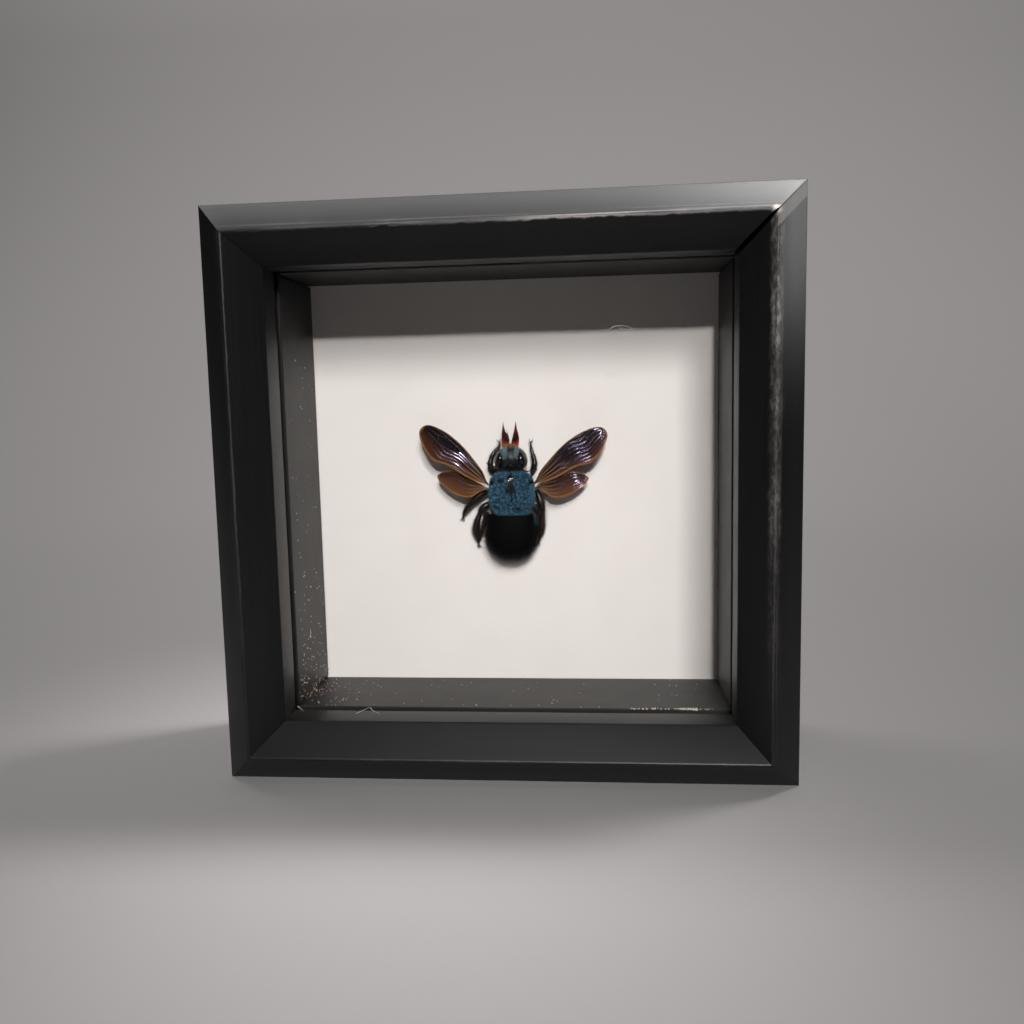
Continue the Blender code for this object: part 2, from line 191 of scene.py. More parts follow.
class Graph:
    """A node tree and the two ways to add to it: operators on wires, and node() for all else."""

    def __init__(self, tree: bpy.types.NodeTree) -> None:
        """Empty the tree and hold it."""
        tree.nodes.clear()
        self.tree = tree

    def plug(self, socket: bpy.types.NodeSocket, value: object) -> None:
        """Link a wire to a socket, or set the socket's own value.

        Args:
            socket: An input of a node.
            value: A wire, or a plain value.
        """
        if isinstance(value, Wire):
            self.tree.links.new(value.socket, socket)
        elif isinstance(value, tuple) and len(value) == 3 and socket.type == "RGBA":
            socket.default_value = (*value, 1.0)
        else:
            socket.default_value = value

    def node(
        self,
        kind: str,
        settings: dict[str, object] | None = None,
        inputs: dict[str | int, object] | None = None,
    ) -> Wire:
        """Add any node.

        Args:
            kind: The node's type.
            settings: The node's own settings, which are set first; "stops" fills a ramp.
            inputs: A value or a wire for each socket, by its name or number.

        Returns:
            The node's first output.
        """
        made = self.tree.nodes.new(kind)
        for key, value in (settings or {}).items():
            if key == "stops":
                self.fill_ramp(made.color_ramp, value)
            else:
                setattr(made, key, value)
        for key, value in (inputs or {}).items():
            self.plug(made.inputs[key], value)
        return Wire(self, made.outputs[0]) if len(made.outputs) else None

    @staticmethod
    def fill_ramp(ramp: bpy.types.ColorRamp, stops: Sequence[tuple[float, Color]]) -> None:
        """Give a ramp its stops, each a position and a colour."""
        while len(ramp.elements) > 1:
            ramp.elements.remove(ramp.elements[-1])
        ramp.elements[0].position = stops[0][0]
        ramp.elements[0].color = (*stops[0][1], 1.0)
        for position, color in stops[1:]:
            ramp.elements.new(position).color = (*color, 1.0)

    def math(self, operation: str, *values: Wire | float) -> Wire:
        """A Math node on wires or numbers."""
        inputs = dict(enumerate(values))
        return self.node("ShaderNodeMath", {"operation": operation}, inputs)

    def vector_math(self, operation: str, *values: object) -> Wire:
        """A Vector Math node; Scale takes its number last."""
        inputs: dict[str | int, object] = dict(enumerate(values))
        if operation == "SCALE":
            inputs = {0: values[0], "Scale": values[1]}
        return self.node("ShaderNodeVectorMath", {"operation": operation}, inputs)

    def mix(self, factor: Wire | float, first: object, second: object) -> Wire:
        """A colour between two.

        Args:
            factor: From 0 to 1.
            first: The colour at 0.
            second: The colour at 1.

        Returns:
            The mixed colour.
        """
        made = self.node(
            "ShaderNodeMix",
            {"data_type": "RGBA", "clamp_factor": True},
            {0: factor, 6: first, 7: second},
        )
        return made.out(2)

    def place(self, scale: Row = (1, 1, 1), move: Row = (0, 0, 0), uv: str = "") -> Wire:
        """Texture coordinates.

        Args:
            scale: How many times they are stretched, for each axis.
            move: How far they are shifted.
            uv: The UV map they come from, or none for the object's own places.

        Returns:
            The coordinates, through a Mapping node.
        """
        if uv:
            source = self.node("ShaderNodeUVMap", {"uv_map": uv})
        else:
            source = self.node("ShaderNodeTexCoord").out("Object")
        inputs = {"Vector": source, "Scale": tuple(scale), "Location": tuple(move)}
        return self.node("ShaderNodeMapping", {}, inputs)

    def attribute(self, name: str) -> Wire:
        """A mesh attribute that holds one number."""
        return self.node("ShaderNodeAttribute", {"attribute_name": name}).out("Fac")

    def noise(self, at: Wire, scale: float, detail: float = 3.0, roughness: float = 0.5) -> Wire:
        """Soft noise about 0.5."""
        inputs = {"Vector": at, "Scale": scale, "Detail": detail, "Roughness": roughness}
        return self.node("ShaderNodeTexNoise", {}, inputs)

    def cells(self, at: Wire, scale: float, feature: str = "F1") -> Wire:
        """The distance within a pattern of cells."""
        sockets = {"Vector": at, "Scale": scale}
        return self.node("ShaderNodeTexVoronoi", {"feature": feature}, sockets)

    def bump(self, height: Wire, distance: float, strength: float = 1.0) -> Wire:
        """A normal that follows a height."""
        inputs = {"Height": height, "Distance": distance, "Strength": strength}
        return self.node("ShaderNodeBump", {}, inputs)

    def field(self, name: str) -> Wire:
        """In a geometry tree, a mesh attribute that holds one number."""
        return self.node("GeometryNodeInputNamedAttribute", {"data_type": "FLOAT"}, {"Name": name})

    def random_number(self, low: float, high: float, seed: Wire) -> Wire:
        """In a geometry tree, a number for each point."""
        inputs = {2: low, 3: high, "Seed": seed}
        return self.node("FunctionNodeRandomValue", {"data_type": "FLOAT"}, inputs).out(1)

    def random_vector(self, low: float, high: float, seed: Wire) -> Wire:
        """In a geometry tree, a vector for each point."""
        inputs = {0: (low, low, low), 1: (high, high, high), "Seed": seed}
        return self.node("FunctionNodeRandomValue", {"data_type": "FLOAT_VECTOR"}, inputs)

    def principled(self, **sockets: object) -> Wire:
        """A Principled BSDF; underscores in the names stand for spaces."""
        inputs = {name.replace("_", " "): value for name, value in sockets.items()}
        return self.node("ShaderNodeBsdfPrincipled", {}, inputs)


@dataclass(frozen=True)
class Finish:
    """A finish, which makes its material once and then hands it out."""

    name: str

    def surface(self, graph: Graph) -> Wire:
        """The shader of this finish."""
        raise NotImplementedError

    def material(self) -> bpy.types.Material:
        """The finish's material, made on first use."""
        found = bpy.data.materials.get(self.name)
        if found:
            return found
        made = bpy.data.materials.new(self.name)
        made.use_nodes = True
        graph = Graph(made.node_tree)
        graph.node("ShaderNodeOutputMaterial", {}, {"Surface": self.surface(graph)})
        return made


@dataclass(frozen=True)
class RubbedBlackPaint(Finish):
    """Black satin paint on the moulding, with fine lines along it, rubbed pale along the ridge; the
    pale is strongest on the top rail's right end and on the right rail, partly real rubbing and
    partly painted highlight from the upper right.
    """

    black: Color = (0.0038, 0.0037, 0.0038)
    line_black: Color = (0.0064, 0.0061, 0.0062)
    rubbed: Color = (0.26, 0.245, 0.235)
    filler: Color = (0.62, 0.59, 0.54)
    ridge_inset: float = 0.0065
    ridge_width: float = 0.00045
    band_width: float = 0.0015
    joint_step: float = 0.0023

    def surface(self, graph: Graph) -> Wire:
        """Lines from the length's own map, and rubbing mixed with a painted highlight by the
        distance to the ridge and the joint.
        """
        along = graph.place((11, 1500, 1), uv="length")
        fine = graph.noise(along, 1.0, 4, 0.6)
        broad = graph.noise(graph.place((14, 260, 1), uv="length"), 1.0, 3, 0.5)
        spots = graph.noise(graph.place((1, 1, 1)), 2600, 2, 0.5)
        split = graph.node("ShaderNodeSeparateXYZ", {}, {0: graph.place()})
        x, z = split, split.out(2) - HALF
        inset = HALF - abs(x).larger(abs(z))
        front = split.out(1).step(-0.0170, -0.0182)
        ragged = graph.noise(graph.place((1, 1, 1), (1, 4, 2)), 420, 3, 0.6)
        beside = inset - self.ridge_inset + (ragged - 0.5) * 0.0013
        ridge = abs(beside).step(self.ridge_width, 0.0)
        shoulder = beside.step(-0.0021, -0.0003) * beside.step(0.0003, 0.0)
        streak = fine.step(0.47, 0.60)
        patchy = graph.noise(graph.place((1, 1, 1), (3, 1, 2)), 55, 3, 0.6).step(0.38, 0.62)
        # Painted highlight mixed with real rubbing: the pale is strongest on the top rail towards
        # its right end and on the right rail, where light from the upper right falls.
        top = z.step(0.040, 0.054) * x.step(-0.075, 0.03)
        right = x.step(0.045, 0.054) * z.step(-0.05, 0.045)
        wear_and_highlight = (0.08 + 0.92 * top.larger(right * 0.4)) * (0.35 + 0.65 * patchy) * front
        mottle = graph.noise(graph.place((1, 1, 0.45), (2, 1, 7)), 1500, 3, 0.7).step(0.44, 0.62)
        # Painted sheen mixed with real rubbing: a pale mottled stripe beside the ridge of the right
        # rail.
        rubbed_and_sheen_band = abs(beside).step(self.band_width, self.band_width * 0.3) * (0.4 + 0.6 * patchy)
        rubbed_and_sheen_band = right * rubbed_and_sheen_band * (x - z).step(-0.0001, 0.0001) * front
        joint = (x - z) / math.sqrt(2)
        upper_right = z.step(0.045, 0.047) * x.step(0.045, 0.047) * front
        cut = joint.step(0.0001, 0.0003) * joint.step(self.joint_step, self.joint_step - 0.0002)
        cut_face = cut * upper_right * (inset - self.ridge_inset).step(0.0002, -0.0002)
        cut_edge = (abs(joint - self.joint_step - 0.0002)).step(0.00025, 0.0) * upper_right
        cut_edge = cut_edge * (inset - self.ridge_inset).step(0.0002, -0.0002)
        chip_at = (HALF - self.ridge_inset - 0.0003, FRONT_Y + 0.0003, 2 * HALF - self.ridge_inset)
        reach = graph.vector_math("DISTANCE", graph.place(), chip_at).out("Value")
        chip = (reach + 0.0009 * spots).step(0.0017, 0.0008)
        scuff_and_highlight = (ridge * wear_and_highlight * (0.30 + 0.70 * streak)).larger(shoulder * streak * wear_and_highlight * 0.85)
        scuff_and_highlight = scuff_and_highlight.larger(rubbed_and_sheen_band * (0.18 + 0.50 * mottle))
        paint = graph.mix((fine * 0.7 + broad * 0.5).step(0.45, 0.85), self.black, self.line_black)
        color = graph.mix(scuff_and_highlight, paint, self.rubbed)
        color = graph.mix(cut_face * 0.34, color, self.rubbed)
        color = graph.mix(cut_edge, color, (0.004, 0.004, 0.004))
        color = graph.mix(chip, color, self.filler)
        height = fine * 0.5 + broad * 0.5 + spots * 0.12 - chip * 0.8
        return graph.principled(
            Base_Color=color,
            Roughness=0.37 + fine * 0.10 + scuff_and_highlight * 0.25 + chip * 0.3,
            Specular_IOR_Level=0.32,
            Normal=graph.bump(height, 0.00006, 0.45),
        )


@dataclass(frozen=True)
class ClearGlass(Finish):
    """Clear glazing: light passes straight through, and its faces mirror more at a low angle."""

    tint: Color = (0.985, 0.982, 0.980)

    def surface(self, graph: Graph) -> Wire:
        """A clear and a mirror shader, mixed by the angle of view."""
        facing = graph.node("ShaderNodeLayerWeight", {}, {"Blend": 0.5}).out("Facing")
        mirror = 0.006 + 0.9 * facing**5.0
        clear = graph.node("ShaderNodeBsdfTransparent", {}, {"Color": self.tint})
        gloss = graph.principled(Base_Color=(0.95, 0.95, 0.96), Metallic=1.0, Roughness=0.02)
        return graph.node("ShaderNodeMixShader", {}, {0: mirror, 1: clear, 2: gloss})


@dataclass(frozen=True)
class BlackLining(Finish):
    """Black satin strips round the inside of the box, with lines drawn along the depth's layers."""

    black: Color = (0.0060, 0.0057, 0.0057)
    pale: Color = (0.019, 0.018, 0.0178)

    def surface(self, graph: Graph) -> Wire:
        """Lines that run round the box, with faint smears of dust."""
        lines = graph.noise(graph.place((30, 1500, 30)), 1.0, 3, 0.6)
        smear = graph.noise(graph.place(), 120, 4, 0.6)
        specks = graph.cells(graph.place(), 620).step(0.10, 0.04)
        rare = graph.noise(graph.place((1, 1, 1), (5, 2, 1)), 200, 2, 0.5).step(0.52, 0.66)
        dusty = lines.step(0.35, 0.8) * 0.6 + smear.step(0.5, 0.8) * 0.3
        color = graph.mix(dusty, self.black, self.pale)
        color = graph.mix(specks * rare * 0.5, color, (0.30, 0.29, 0.28))
        return graph.principled(
            Base_Color=color,
            Roughness=0.42 + smear * 0.15,
            Normal=graph.bump(lines, 0.00005, 0.4),
        )


@dataclass(frozen=True)
class WhiteCard(Finish):
    """Warm white matt card with a faint laid grain."""

    white: Color = (0.815, 0.782, 0.752)
    shade: Color = (0.780, 0.745, 0.713)

    def surface(self, graph: Graph) -> Wire:
        """Fine fibres across the card, and a little mottling."""
        fibre = graph.noise(graph.place((500, 900, 2400)), 1.0, 4, 0.6)
        mottle = graph.noise(graph.place(), 90, 3, 0.5)
        fleck = graph.cells(graph.place(), 340).step(0.035, 0.012)
        few = graph.noise(graph.place((1, 1, 1), (1, 7, 3)), 150, 2, 0.5).step(0.60, 0.68)
        shaded = mottle.step(0.3, 0.75) * 0.6 + fibre.step(0.4, 0.8) * 0.25
        color = graph.mix(shaded, self.white, self.shade)
        color = graph.mix(fleck * few * 0.7, color, (0.42, 0.38, 0.34))
        return graph.principled(
            Base_Color=color,
            Roughness=0.78,
            Specular_IOR_Level=0.3,
            Normal=graph.bump(fibre * 0.6 + mottle * 0.4, 0.00010, 0.35),
        )


@dataclass(frozen=True)
class RawFibreboard(Finish):
    """Brown hardboard with pressed fibres."""

    dark: Color = (0.150, 0.086, 0.045)
    light: Color = (0.310, 0.200, 0.115)

    def surface(self, graph: Graph) -> Wire:
        """Matted fibres in two sizes."""
        fibre = graph.noise(graph.place((900, 400, 2200)), 1.0, 5, 0.65)
        crossed = graph.noise(graph.place((2400, 400, 800)), 1.0, 5, 0.65)
        cloud = graph.noise(graph.place(), 60, 3, 0.5)
        matted = fibre * 0.4 + crossed * 0.4 + cloud * 0.3
        return graph.principled(
            Base_Color=graph.mix(matted.step(0.35, 0.75), self.dark, self.light),
            Roughness=0.8,
            Normal=graph.bump(matted, 0.00012, 0.6),
        )


@dataclass(frozen=True)
class StampedMetal(Finish):
    """Thin stamped sheet metal, brushed and a little tarnished."""

    bright: Color = (0.56, 0.55, 0.53)
    tarnish: Color = (0.30, 0.28, 0.25)

    def surface(self, graph: Graph) -> Wire:
        """Fine brush lines and patches of tarnish."""
        brush = graph.noise(graph.place((300, 300, 5000)), 1.0, 3, 0.6)
        patch = graph.noise(graph.place(), 260, 4, 0.6)
        return graph.principled(
            Base_Color=graph.mix(patch.step(0.45, 0.75) * 0.7, self.bright, self.tarnish),
            Metallic=1.0,
            Roughness=0.28 + brush * 0.15 + patch * 0.1,
            Normal=graph.bump(brush, 0.00003, 0.3),
        )


@dataclass(frozen=True)
class PaleStagePaper(Finish):
    """Plain pale paper for the floor and the backdrop."""

    pale: Color = (0.270, 0.262, 0.260)

    def surface(self, graph: Graph) -> Wire:
        """One even matt tone."""
        return graph.principled(Base_Color=self.pale, Roughness=0.9, Specular_IOR_Level=0.1)


class Shape:
    """A mesh while it is made, with the ways of shaping that the pieces share."""

    def __init__(self, name: str) -> None:
        """Start an empty mesh."""
        self.name = name
        self.bm = bmesh.new()

    def layer(self, name: str) -> bmesh.types.BMLayerItem:
        """A vertex attribute that holds one number."""
        layers = self.bm.verts.layers.float
        return layers.get(name) or layers.new(name)

    def loft(self, rings: Sequence[Sequence[Vector]], capped: bool = True, slot: int = 0) -> list:
        """Skin a row of closed rings, and close its two ends.

        Args:
            rings: Rings of points, all of the same count.
            capped: Whether the first and last rings get a face.
            slot: The material slot of the new faces.

        Returns:
            The new vertices, ring by ring.
        """
        rows = [[self.bm.verts.new(point) for point in ring] for ring in rings]
        count = len(rows[0])
        for low, high in zip(rows, rows[1:]):
            for i in range(count):
                j = (i + 1) % count
                face = self.bm.faces.new((low[i], low[j], high[j], high[i]))
                face.material_index = slot
                face.smooth = True
        if capped:
            for ring in (rows[0][::-1], rows[-1]):
                self.bm.faces.new(ring).material_index = slot
        return rows

    def tube(
        self, path: Sequence[Vector], radii: Sequence[float], sides: int = 8, slot: int = 0
    ) -> list:
        """A closed tube along a path, with a radius at each point.

        Args:
            path: Points in metres.
            radii: The radius at each point, in metres.
            sides: The count of faces round the tube.
            slot: The material slot of the new faces.

        Returns:
            The new vertices, ring by ring.
        """
        rings = []
        normal = Vector((0.0, -1.0, 0.0))
        for index, point in enumerate(path):
            ahead = path[min(index + 1, len(path) - 1)] - path[max(index - 1, 0)]
            tangent = ahead.normalized()
            normal = (normal - tangent * normal.dot(tangent)).normalized()
            across = tangent.cross(normal)
            angles = [math.tau * side / sides for side in range(sides)]
            spokes = [normal * math.cos(angle) + across * math.sin(angle) for angle in angles]
            rings.append([point + spoke * radii[index] for spoke in spokes])
        return self.loft(rings, True, slot)

    def ball(self, segments: int, rings: int, at: Matrix = Matrix.Identity(4)) -> None:
        """Add a ball of radius 1 with its faces in a set order, so that its hair is set too.

        Args:
            segments: The count of faces round it.
            rings: The count of faces from pole to pole.
            at: Where it goes, and how it is turned and stretched.
        """
        top, bottom = (self.bm.verts.new(at @ Vector((0.0, 0.0, end))) for end in (1.0, -1.0))
        turns = [math.tau * k / segments for k in range(segments)]
        rows = []
        for ring in range(1, rings):
            wide, height = math.sin(math.pi * ring / rings), math.cos(math.pi * ring / rings)
            places = [(wide * math.cos(turn), wide * math.sin(turn), height) for turn in turns]
            rows.append([self.bm.verts.new(at @ Vector(place)) for place in places])
        for k in range(segments):
            j = (k + 1) % segments
            self.bm.faces.new((top, rows[0][k], rows[0][j]))
            for upper, lower in zip(rows, rows[1:]):
                self.bm.faces.new((upper[k], lower[k], lower[j], upper[j]))
            self.bm.faces.new((rows[-1][k], bottom, rows[-1][j]))

    def finish(self, *finishes: Finish, recalculate: bool = True) -> bpy.types.Object:
        """Make the object, with its place in its mesh.

        Args:
            finishes: One finish for each material slot.
            recalculate: Whether the faces are turned outwards.

        Returns:
            The new object, at the origin.
        """
        if recalculate:
            bmesh.ops.recalc_face_normals(self.bm, faces=self.bm.faces)
            if self.bm.calc_volume(signed=True) < 0.0:
                bmesh.ops.reverse_faces(self.bm, faces=self.bm.faces)
        mesh = bpy.data.meshes.new(self.name)
        self.bm.to_mesh(mesh)
        self.bm.free()
        for finish in finishes:
            mesh.materials.append(finish.material())
        made = bpy.data.objects.new(self.name, mesh)
        bpy.context.scene.collection.objects.link(made)
        return made


class Piece:
    """The tie between a visual piece and the frame that it dresses."""

    @staticmethod
    def mount(made: bpy.types.Object, slot: str, *nodes: str) -> bpy.types.Object:
        """Let a piece ride on the frame.

        Args:
            made: The piece.
            slot: Its material slot.
            *nodes: The CAD nodes that it stands in for.

        Returns:
            The same piece.
        """
        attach(made, "root")
        if nodes:
            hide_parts(*nodes)
        LOG.info("%s: %d faces, %s", made.name, len(made.data.polygons), slot)
        return made

    @staticmethod
    def paint(node: bpy.types.Object, finish: Finish) -> None:
        """Give a CAD node a finish in place of its own."""
        node.data.materials.clear()
        node.data.materials.append(finish.material())
        LOG.info("%s: CAD solid in %s", node.name, finish.name)


@dataclass(frozen=True)
class HairFinish(Finish):
    """Hair whose colour varies by patch and by strand, and turns by the skin's marks."""

    deep: Color = (0.005, 0.022, 0.048)
    middle: Color = (0.031, 0.122, 0.218)
    light: Color = (0.215, 0.430, 0.520)
    dark: Color = (0.003, 0.003, 0.004)
    patch_scale: float = 1700.0
    gloss: float = 0.25

    def surface(self, graph: Graph) -> Wire:
        """Two scales of patches, a tone for each strand, and the dark marks."""
        patches = graph.noise(graph.place(), self.patch_scale, 3, 0.6)
        tone = graph.attribute("tone")
        mixed = patches * 1.6 + tone * 0.3
        color = graph.mix(mixed.step(0.76, 1.04), self.deep, self.middle)
        color = graph.mix(mixed.step(0.98, 1.30), color, self.light)
        # The attribute shade turns the hair to the colour dark: real marks and pale patches, and
        # also painted shade on the thorax's rim and underside and a painted sheen on the abdomen's
        # right flank.
        color = graph.mix(graph.attribute("shade").step(0.15, 0.6), color, self.dark)
        return graph.principled(Base_Color=color, Roughness=0.5, Specular_IOR_Level=self.gloss)


@dataclass(frozen=True)
class DownySkin(Finish):
    """Skin under hair: matt and dark where the hair is dense, glossy black where it is bare."""

    under: Color = (0.006, 0.026, 0.050)
    bare: Color = (0.004, 0.004, 0.005)

    def surface(self, graph: Graph) -> Wire:
        """Both states, by the marks pile and shade."""
        haired = graph.attribute("pile").step(0.05, 0.6)
        blue = haired * (1.0 - graph.attribute("shade").step(0.1, 0.5))
        grain = graph.noise(graph.place(), 5000, 3, 0.6)
        return graph.principled(
            Base_Color=graph.mix(blue, self.bare, self.under),
            Roughness=0.14 + haired * 0.75,
            Specular_IOR_Level=0.5,
            Normal=graph.bump(grain * haired, 0.00006, 0.6),
        )


@dataclass(frozen=True)
class Shell(Finish):
    """Hard black skin with fine pits."""

    black: Color = (0.006, 0.0055, 0.006)
    brown: Color = (0.020, 0.012, 0.009)
    roughness: float = 0.2
    pit_scale: float = 9000.0
    pit_depth: float = 0.00002
    gloss: float = 0.5

    def surface(self, graph: Graph) -> Wire:
        """Black with a trace of brown, and pits."""
        pits = graph.cells(graph.place(), self.pit_scale)
        cloud = graph.noise(graph.place(), 700, 3, 0.5)
        return graph.principled(
            Base_Color=graph.mix(cloud.step(0.45, 0.75), self.black, self.brown),
            Roughness=self.roughness + cloud * 0.12,
            Specular_IOR_Level=self.gloss,
            Normal=graph.bump(pits, self.pit_depth, 0.5),
        )


@dataclass(frozen=True)
class SmokyMembrane(Finish):
    """Wing membrane: black-brown in front, brown behind, amber at the rim, with a violet-tinted
    gloss and a violet sheen painted on the crests of its folds.
    """

    lead: Color = (0.0085, 0.0050, 0.0060)
    rear: Color = (0.055, 0.020, 0.010)
    rim: Color = (0.230, 0.105, 0.034)
    root: Color = (0.300, 0.160, 0.070)
    # The colour of the painted sheen.
    sheen: Color = (0.115, 0.085, 0.215)
    dark_until: float = 0.45
    painted_sheen_share: float = 0.5

    def surface(self, graph: Graph) -> Wire:
        """Colour by the place across the wing and the way to its edge, with a painted violet sheen
        on the crests of its folds.
        """
        across, along = graph.attribute("across"), graph.attribute("along")
        edge, crest = graph.attribute("edge"), graph.attribute("crest")
        grain = graph.noise(graph.place(), 1500, 3, 0.6)
        leading = (across + grain * 0.2).step(self.dark_until - 0.2, self.dark_until + 0.35)
        color = graph.mix(leading, self.rear, self.lead)
        streak = graph.attribute("streak")
        color = graph.mix(streak * along.step(0.50, 0.04) * 0.9, color, self.root)
        color = graph.mix((edge + grain * 0.25 - 0.12).step(0.85, 0.15), color, self.rim)
        # Painted sheen: the crests of the folds are tinted violet where the light's streaks would
        # shine.
        glossy = (crest * (0.4 + grain)).step(0.40, 0.95) * self.painted_sheen_share
        color = graph.mix(glossy, color, self.sheen)
        return graph.principled(
            Base_Color=color,
            Roughness=0.15 + grain * 0.08,
            Specular_IOR_Level=0.70,
            Specular_Tint=(0.84, 0.74, 1.0, 1.0),
            Coat_Weight=0.25,
            Coat_Roughness=0.08,
            Normal=graph.bump(grain, 0.00003, 0.4),
        )


@dataclass(frozen=True)
class BladeHorn(Finish):
    """Horn of the mouth blades: orange at the base, dark in the middle, red towards the tips."""

    low: float = 0.0702
    stops: tuple[tuple[float, Color], ...] = (
        (0.00, (0.34, 0.085, 0.020)),
        (0.10, (0.20, 0.026, 0.010)),
        (0.24, (0.022, 0.004, 0.004)),
        (0.58, (0.050, 0.007, 0.006)),
        (1.00, (0.20, 0.038, 0.026)),
    )

    def surface(self, graph: Graph) -> Wire:
        """A ramp up the blades, warmer at their outer sides."""
        split = graph.node("ShaderNodeSeparateXYZ", {}, {0: graph.place()})
        up = (split.out(2) - self.low) / 0.006
        side = abs(split + 0.0004).step(0.0012, 0.0021)
        grain = graph.noise(graph.place((3000, 3000, 900)), 1.0, 3, 0.5)
        height = up + (grain - 0.5) * 0.12 - side * 0.10
        ramp = graph.node("ShaderNodeValToRGB", {"stops": self.stops}, {0: height})
        return graph.principled(
            Base_Color=ramp, Roughness=0.14, Coat_Weight=0.3, Normal=graph.bump(grain, 0.00002, 0.3)
        )


@dataclass(frozen=True)
class PlainDye(Finish):
    """A small piece of one colour, a little mottled."""

    color: Color = (0.6, 0.58, 0.55)
    other: Color = (0.45, 0.42, 0.38)
    roughness: float = 0.7

    def surface(self, graph: Graph) -> Wire:
        """Two close tones in small patches."""
        cloud = graph.noise(graph.place(), 2500, 2, 0.5)
        color = graph.mix(cloud.step(0.4, 0.65), self.color, self.other)
        return graph.principled(Base_Color=color, Roughness=self.roughness)


class GeometryTools:
    """Geometry Nodes groups, each made once, and the way to turn their result into a plain mesh."""

    @staticmethod
    def start(name: str, sockets: Sequence[tuple[str, str]]) -> Graph:
        """A group with a geometry in and out and the named inputs, as (name, type)."""
        tree = bpy.data.node_groups.new(name, "GeometryNodeTree")
        graph = Graph(tree)
        for socket, kind in (("Geometry", "Geometry"), *sockets):
            tree.interface.new_socket(name=socket, in_out="INPUT", socket_type=f"NodeSocket{kind}")
        tree.interface.new_socket(
            name="Geometry", in_out="OUTPUT", socket_type="NodeSocketGeometry"
        )
        return graph

    @staticmethod
    def close(graph: Graph, geometry: Wire, material: Wire) -> bpy.types.NodeTree:
        """End a group in Realize Instances and Set Material."""
        real = graph.node("GeometryNodeRealizeInstances", {}, {"Geometry": geometry})
        dyed = graph.node("GeometryNodeSetMaterial", {}, {"Geometry": real, "Material": material})
        graph.node("NodeGroupOutput", {}, {0: dyed})
        return graph.tree

    @staticmethod
    def bake(
        name: str, source: bpy.types.Object, tree: bpy.types.NodeTree, values: dict[str, object]
    ) -> bpy.types.Object:
        """Run a group on a source mesh.

        Args:
            name: The new object's name.
            source: The object that carries the modifier for a moment.
            tree: The group.
            values: The group's inputs by their names.

        Returns:
            A new object with the plain result.
        """
        modifier = source.modifiers.new("shaping", "NODES")
        modifier.node_group = tree
        for item in tree.interface.items_tree:
            if item.item_type == "SOCKET" and item.in_out == "INPUT" and item.name in values:
                modifier[item.identifier] = values[item.name]
        source.update_tag()
        depsgraph = bpy.context.evaluated_depsgraph_get()
        mesh = bpy.data.meshes.new_from_object(source.evaluated_get(depsgraph), depsgraph=depsgraph)
        source.modifiers.remove(modifier)
        mesh.name = name
        made = bpy.data.objects.new(name, mesh)
        bpy.context.scene.collection.objects.link(made)
        return made


